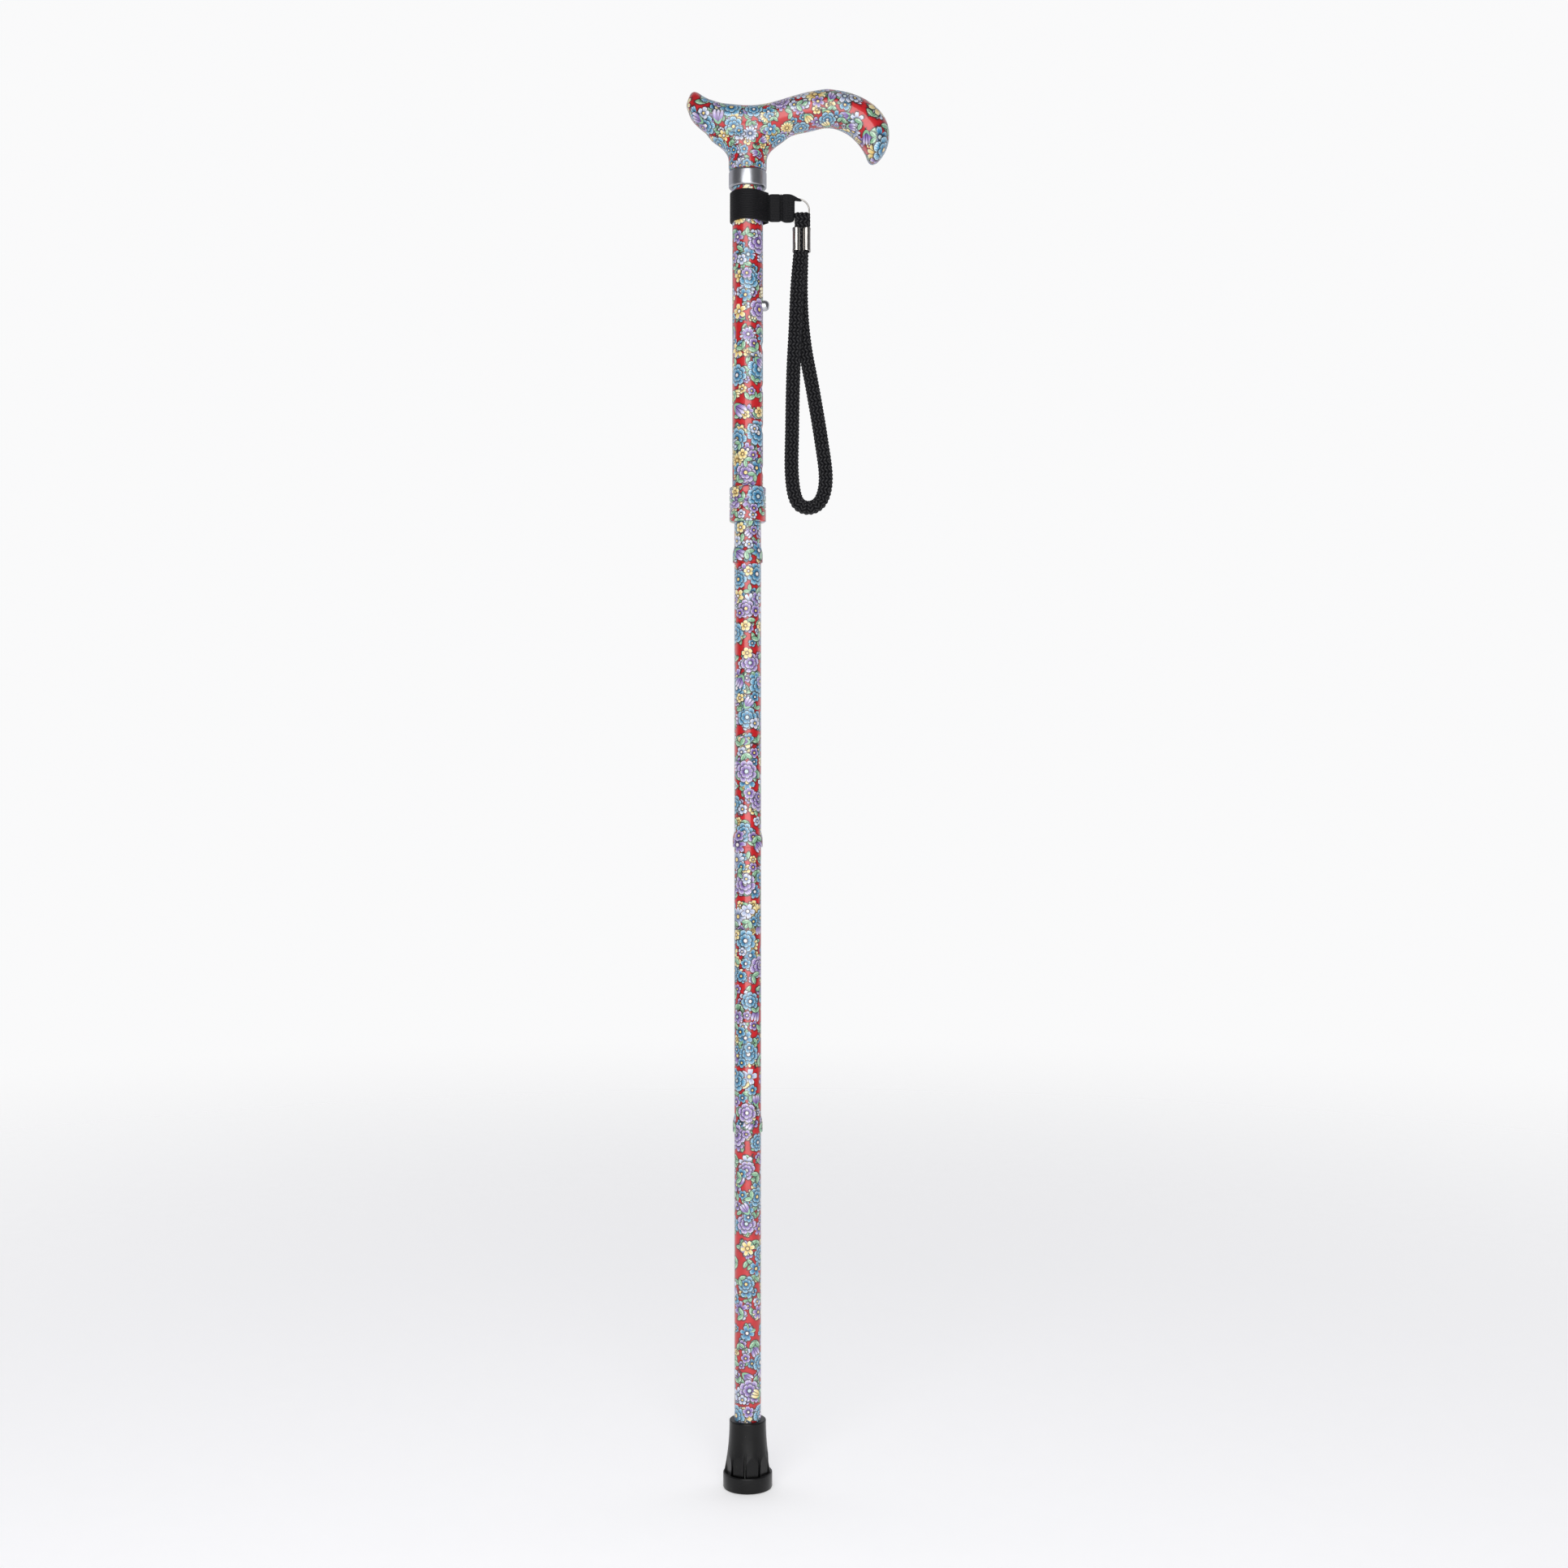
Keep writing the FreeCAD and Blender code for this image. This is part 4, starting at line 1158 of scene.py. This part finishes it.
def make_split_ring():
    """A ring of round wire coiled twice."""
    steps = 200
    line = []
    for i in range(steps + 1):
        turn = 2 * TAU * i / steps
        side = (2 * i / steps - 1) * WIRE_R
        line.append((RING_X + RING_R * math.cos(turn), side, RING_Z + RING_R * math.sin(turn)))
    points, faces = sweep(line, [(0, 1, 0)] * (steps + 1), round_section(WIRE_R, WIRE_R, 14))
    new_piece("split_ring_wire", points, faces, "strap_ring", NICKEL, "split_ring", 60)


def soft_zigzag(turn):
    """Position from -1 to 1, and direction, of a strand that runs from edge to edge."""
    angle = TAU * turn
    across = 0.98 * math.asin(0.985 * math.sin(angle)) / math.asin(0.985)
    return across, math.tanh(2.6 * math.cos(angle))


def braid(points, normals, width_over_all):
    """Strands plaited flat along a line of evenly spaced places."""
    points, places = even_line(points, 0.55)
    shares = np.linspace(0, 1, len(points)), np.linspace(0, 1, len(normals))
    widths, normals = crosswise(points, read_off(*shares, normals))
    reach = width_over_all / 2 - STRAND_R
    strands = []
    for k in range(BRAID_STRANDS):
        line = []
        for point, width, normal, place in zip(points, widths, normals, places):
            repeats = place / BRAID_REPEAT
            across, way = soft_zigzag(repeats + k / BRAID_STRANDS)
            weave = STRAND_DEPTH * math.cos(math.pi * BRAID_STRANDS * repeats + math.pi / 4) * way
            line.append(point + width * across * reach + normal * weave)
        strands.append(sweep(line, normals, round_section(STRAND_R, STRAND_DEPTH, 8)))
    return merged(strands)


def make_wrist_cord():
    """The flat braid: a short fold over the ring and a long hanging loop, ending in the crimp."""
    side, fold_x = 1.5, 33.85
    front, back = (33.4, -side, 770.0), (33.4, side, 770.0)  # the two strands inside the crimp
    fold_z = span("wrist_cord")[1].z - 1.35 - side
    over = [back, (fold_x, side, 780.0), (fold_x, side, fold_z)]
    over += [(fold_x, y, z) for y, z in arc((0, fold_z), side, 0, 180, 6)[1:]]
    over += [(fold_x, -side, 780.0), front]
    facing = [(0, 1, 0)] * 3 + [(0, y, z) for y, z in arc((0, 0), 1, 0, 180, 6)[1:]]
    facing += [(0, -1, 0)] * 2
    hanging = [(33.2, -side, 770.0), (30.8, -side, 742), (29.6, -side, 716), (28.2, -1.2, 688),
               (27.5, -0.8, 655), (27.3, -0.4, 626), (30.4, -0.2, 609.5), (38.0, 0, 605.4),
               (45.4, 0.2, 610.2), (48.3, 0.4, 624), (45.4, 0.8, 648), (40.4, 1.2, 678),
               (35.0, side, 708), (32.9, side, 736), back]
    line, places = even_line(over, 0.5)
    fold = braid(line, read_off(places, distances(over), facing), FOLD_WIDTH)
    points, faces = merged([fold, braid(hanging, [(0, -1, 0)] * 2, LOOP_WIDTH)])
    new_piece("wrist_cord_braid", points, faces, "wrist_loop", BRAID, "wrist_cord", 70)


def make_crimp():
    """A bent metal strip: flat behind, with two rounded lips in front and a slot between them."""
    low, high = span("cord_crimp")
    middle = (low.x + high.x) / 2
    half = arc((3.05, -1.35), 2.15, 215, 360, 14) + arc((3.6, 1.75), 1.6, 0, 90, 8)
    strip = np.array([(-x, y) for x, y in half] + half[::-1])
    along = directions(strip)
    out = np.column_stack([along[:, 1], -along[:, 0]]) * 0.35
    outline = np.vstack([strip + out, (strip - out)[::-1]])
    hems = ((0, 0.0), (0.012, 0.02), (0.04, 0.025), (0.1, 0.0))  # the swell near each rolled end
    rings = hems + ((0.9, 0.0), (0.96, 0.025), (0.988, 0.02), (1, 0.0))
    points = []
    for share, swell in rings:
        height = low.z + (high.z - low.z) * share
        points += [(middle + x * (1 + swell), y * (1 + swell), height) for x, y in outline]
    faces = thin_faces(len(rings), len(outline))
    new_piece("cord_crimp_clip", points, faces, "wrist_loop", NICKEL, "cord_crimp", 40)


# ---- Springs inside the shaft ----

def make_shock_cord():
    """The elastic cord, in one piece for each joint that it stretches across."""
    low, high = span("shock_cord")
    radius = radius_of("shock_cord")
    ends = (high.z, span("spigot_2")[0].z - 30, span("spigot_3")[0].z - 30, low.z)
    steps, sides, grip = 60, 40, 12
    for i in range(3):
        top, bottom = ends[i], ends[i + 1]
        outline = [(radius, top + (bottom - top) * j / steps) for j in range(steps + 1)]
        outline = [(PINHOLE, top), *outline, (PINHOLE, bottom)]
        faces = grid_faces(len(outline), sides)
        name = f"shock_cord_{i + 1}"
        piece = new_piece(name, turned(outline, sides), faces, None, ELASTIC, "shock_cord", 60)
        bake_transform(piece)


def make_button_spring():
    """The V-shaped leaf spring, from the button's wall across to the far wall."""
    height = button_place()[0]
    low, high = span("button_spring")
    leaf = 0.3
    line = [(high.x - leaf, 0, height - 5), (high.x - leaf, 0, height + 4.4)]
    line += [(2.0, 0, height + 9.6), (-2.4, 0, height + 20.0)]
    line += [(x, 0, z) for x, z in arc((-4.0, height + 23.2), 1.3, 40, 180, 7)]
    line += [(low.x + leaf, 0, height - 9)]
    widths = (-3.25, -3.0, 3.0, 3.25)
    section = [(width, -leaf) for width in widths] + [(width, leaf) for width in widths[::-1]]
    points, _ = even_line(line, 0.6)
    ups = np.cross(np.gradient(points, axis=0), (0.0, 1.0, 0.0))
    points, faces = sweep(points, ups, section)
    piece = new_piece("button_leaf", points, faces, "inner_shaft", SPRING, "button_spring", 50)
    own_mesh(piece)


# ---- Everything that keeps its CAD shape ----

def dress_cad_nodes():
    """Give the CAD nodes that stay visible their materials."""
    nylon = ["handle_sleeve", "tube_end_plug", "lock_bushing", "compression_ring",
             "cord_anchor_upper", "cord_anchor_lower"]
    zinc = ["cord_stop_upper", "cord_stop_lower", "foot_washer"]
    aluminium = []
    for number in (2, 3, 4):
        aluminium.append(f"spigot_{number}")
        nylon.append(f"cord_guide_{number}")
    for material, nodes in ((NYLON, nylon), (ZINC, zinc), (ALUMINIUM, aluminium)):
        for node in nodes:
            cover(frame["nodes"][node].data, material)


# ---- Studio ----

CAMERA_DISTANCE = 1.4 * HEIGHT * MM
PICTURE_WIDTH = 1.1233 * HEIGHT * MM
SENSOR = 36.0
FLOOR_HALF = 4000
FLOOR_DROP = 0.0002


def make_world():
    """Pale behind the object, and a dim room on the camera's side for the gloss to mirror."""
    world = bpy.data.worlds.new("studio")
    bpy.context.scene.world = world
    world.use_nodes = True
    world.node_tree.nodes.clear()
    g = Graph(world.node_tree)
    direction = g.value("ShaderNodeTexCoord", output="Camera")
    facing = g.value("ShaderNodeVectorMath", {0: direction}, operation="NORMALIZE")
    _, _, ahead = g.split(facing)
    room = g.mix(g.smooth(ahead, 0.1, 0.35), (0.15, 0.15, 0.16, 1.0), (0.62, 0.62, 0.66, 1.0))
    seen = g.value("ShaderNodeLightPath", output="Is Camera Ray")
    tone = g.mix(seen, room, (0.955, 0.955, 0.96, 1.0))
    back = g.value("ShaderNodeBackground", {"Color": tone, "Strength": 1.0})
    g.node("ShaderNodeOutputWorld", {"Surface": back})


def make_floor():
    """A pale floor that fades into the background."""
    corners = [(-FLOOR_HALF, -FLOOR_HALF, 0), (FLOOR_HALF, -FLOOR_HALF, 0),
               (FLOOR_HALF, FLOOR_HALF, 0), (-FLOOR_HALF, FLOOR_HALF, 0)]
    floor = new_shape("floor", corners, [(0, 1, 2, 3)])
    surface = Surface("floor")
    x, y, _ = surface.split(surface.place)
    grain = surface.noise(surface.place, 0.06, 3.0)
    tone = surface.mix(grain, (0.86, 0.86, 0.865, 1.0), (0.90, 0.90, 0.905, 1.0))
    fade = surface.smooth(surface.length(x, y), 350, 2200)
    surface.look(tone, 0.75, Emission_Color=(1.0, 1.0, 1.0, 1.0), Emission_Strength=0.4,
                 Alpha=1.0 - fade)
    cover(floor.data, surface.material)
    floor.location.z = -FLOOR_DROP


def make_camera():
    """The photograph's view: level, a little right of the shaft, at half its height."""
    data = bpy.data.cameras.new("camera")
    data.sensor_width = SENSOR
    data.lens = SENSOR * CAMERA_DISTANCE / PICTURE_WIDTH
    data.clip_start, data.clip_end = 0.01, 50.0
    camera = new_object("camera", data)
    camera.location = (0.026 * HEIGHT * MM, -CAMERA_DISTANCE, 0.5031 * HEIGHT * MM)
    camera.rotation_euler = (math.radians(90), 0, 0)
    bpy.context.scene.camera = camera
    return camera


def soft_box(name, camera, place, width, height, power):
    """A light in the camera's own space, so that it keeps its place, aimed at the cane."""
    data = bpy.data.lights.new(name, "AREA")
    data.shape = "RECTANGLE"
    data.size, data.size_y = width, height
    data.energy = power
    light = new_object(name, data)
    light.parent = camera
    light.location = place
    light.rotation_mode = "QUATERNION"
    aim = Vector((0, 0, -CAMERA_DISTANCE)) - Vector(place)
    light.rotation_quaternion = aim.to_track_quat("-Z", "Y")


def make_studio():
    """World, floor, camera and three soft boxes that travel with the camera."""
    make_world()
    make_floor()
    camera = make_camera()
    soft_box("key_box", camera, (-0.05, 0.15, 0.1), 1.15, 1.7, 19)
    soft_box("left_box", camera, (-1.5, 0.3, -CAMERA_DISTANCE - 0.7), 0.5, 1.8, 1.6)
    soft_box("right_box", camera, (1.6, 0.3, -CAMERA_DISTANCE - 0.8), 0.5, 1.8, 1.6)
    settings = bpy.context.scene.view_settings
    settings.view_transform = "Standard"
    settings.look = "None"


make_upper_tube()
make_lower_tubes()
make_collar()
make_lock_collar()
make_snap_button()
make_handle()
make_foot()
make_webbing()
make_stitches()
make_split_ring()
make_wrist_cord()
make_crimp()
make_shock_cord()
make_button_spring()
dress_cad_nodes()
make_studio()
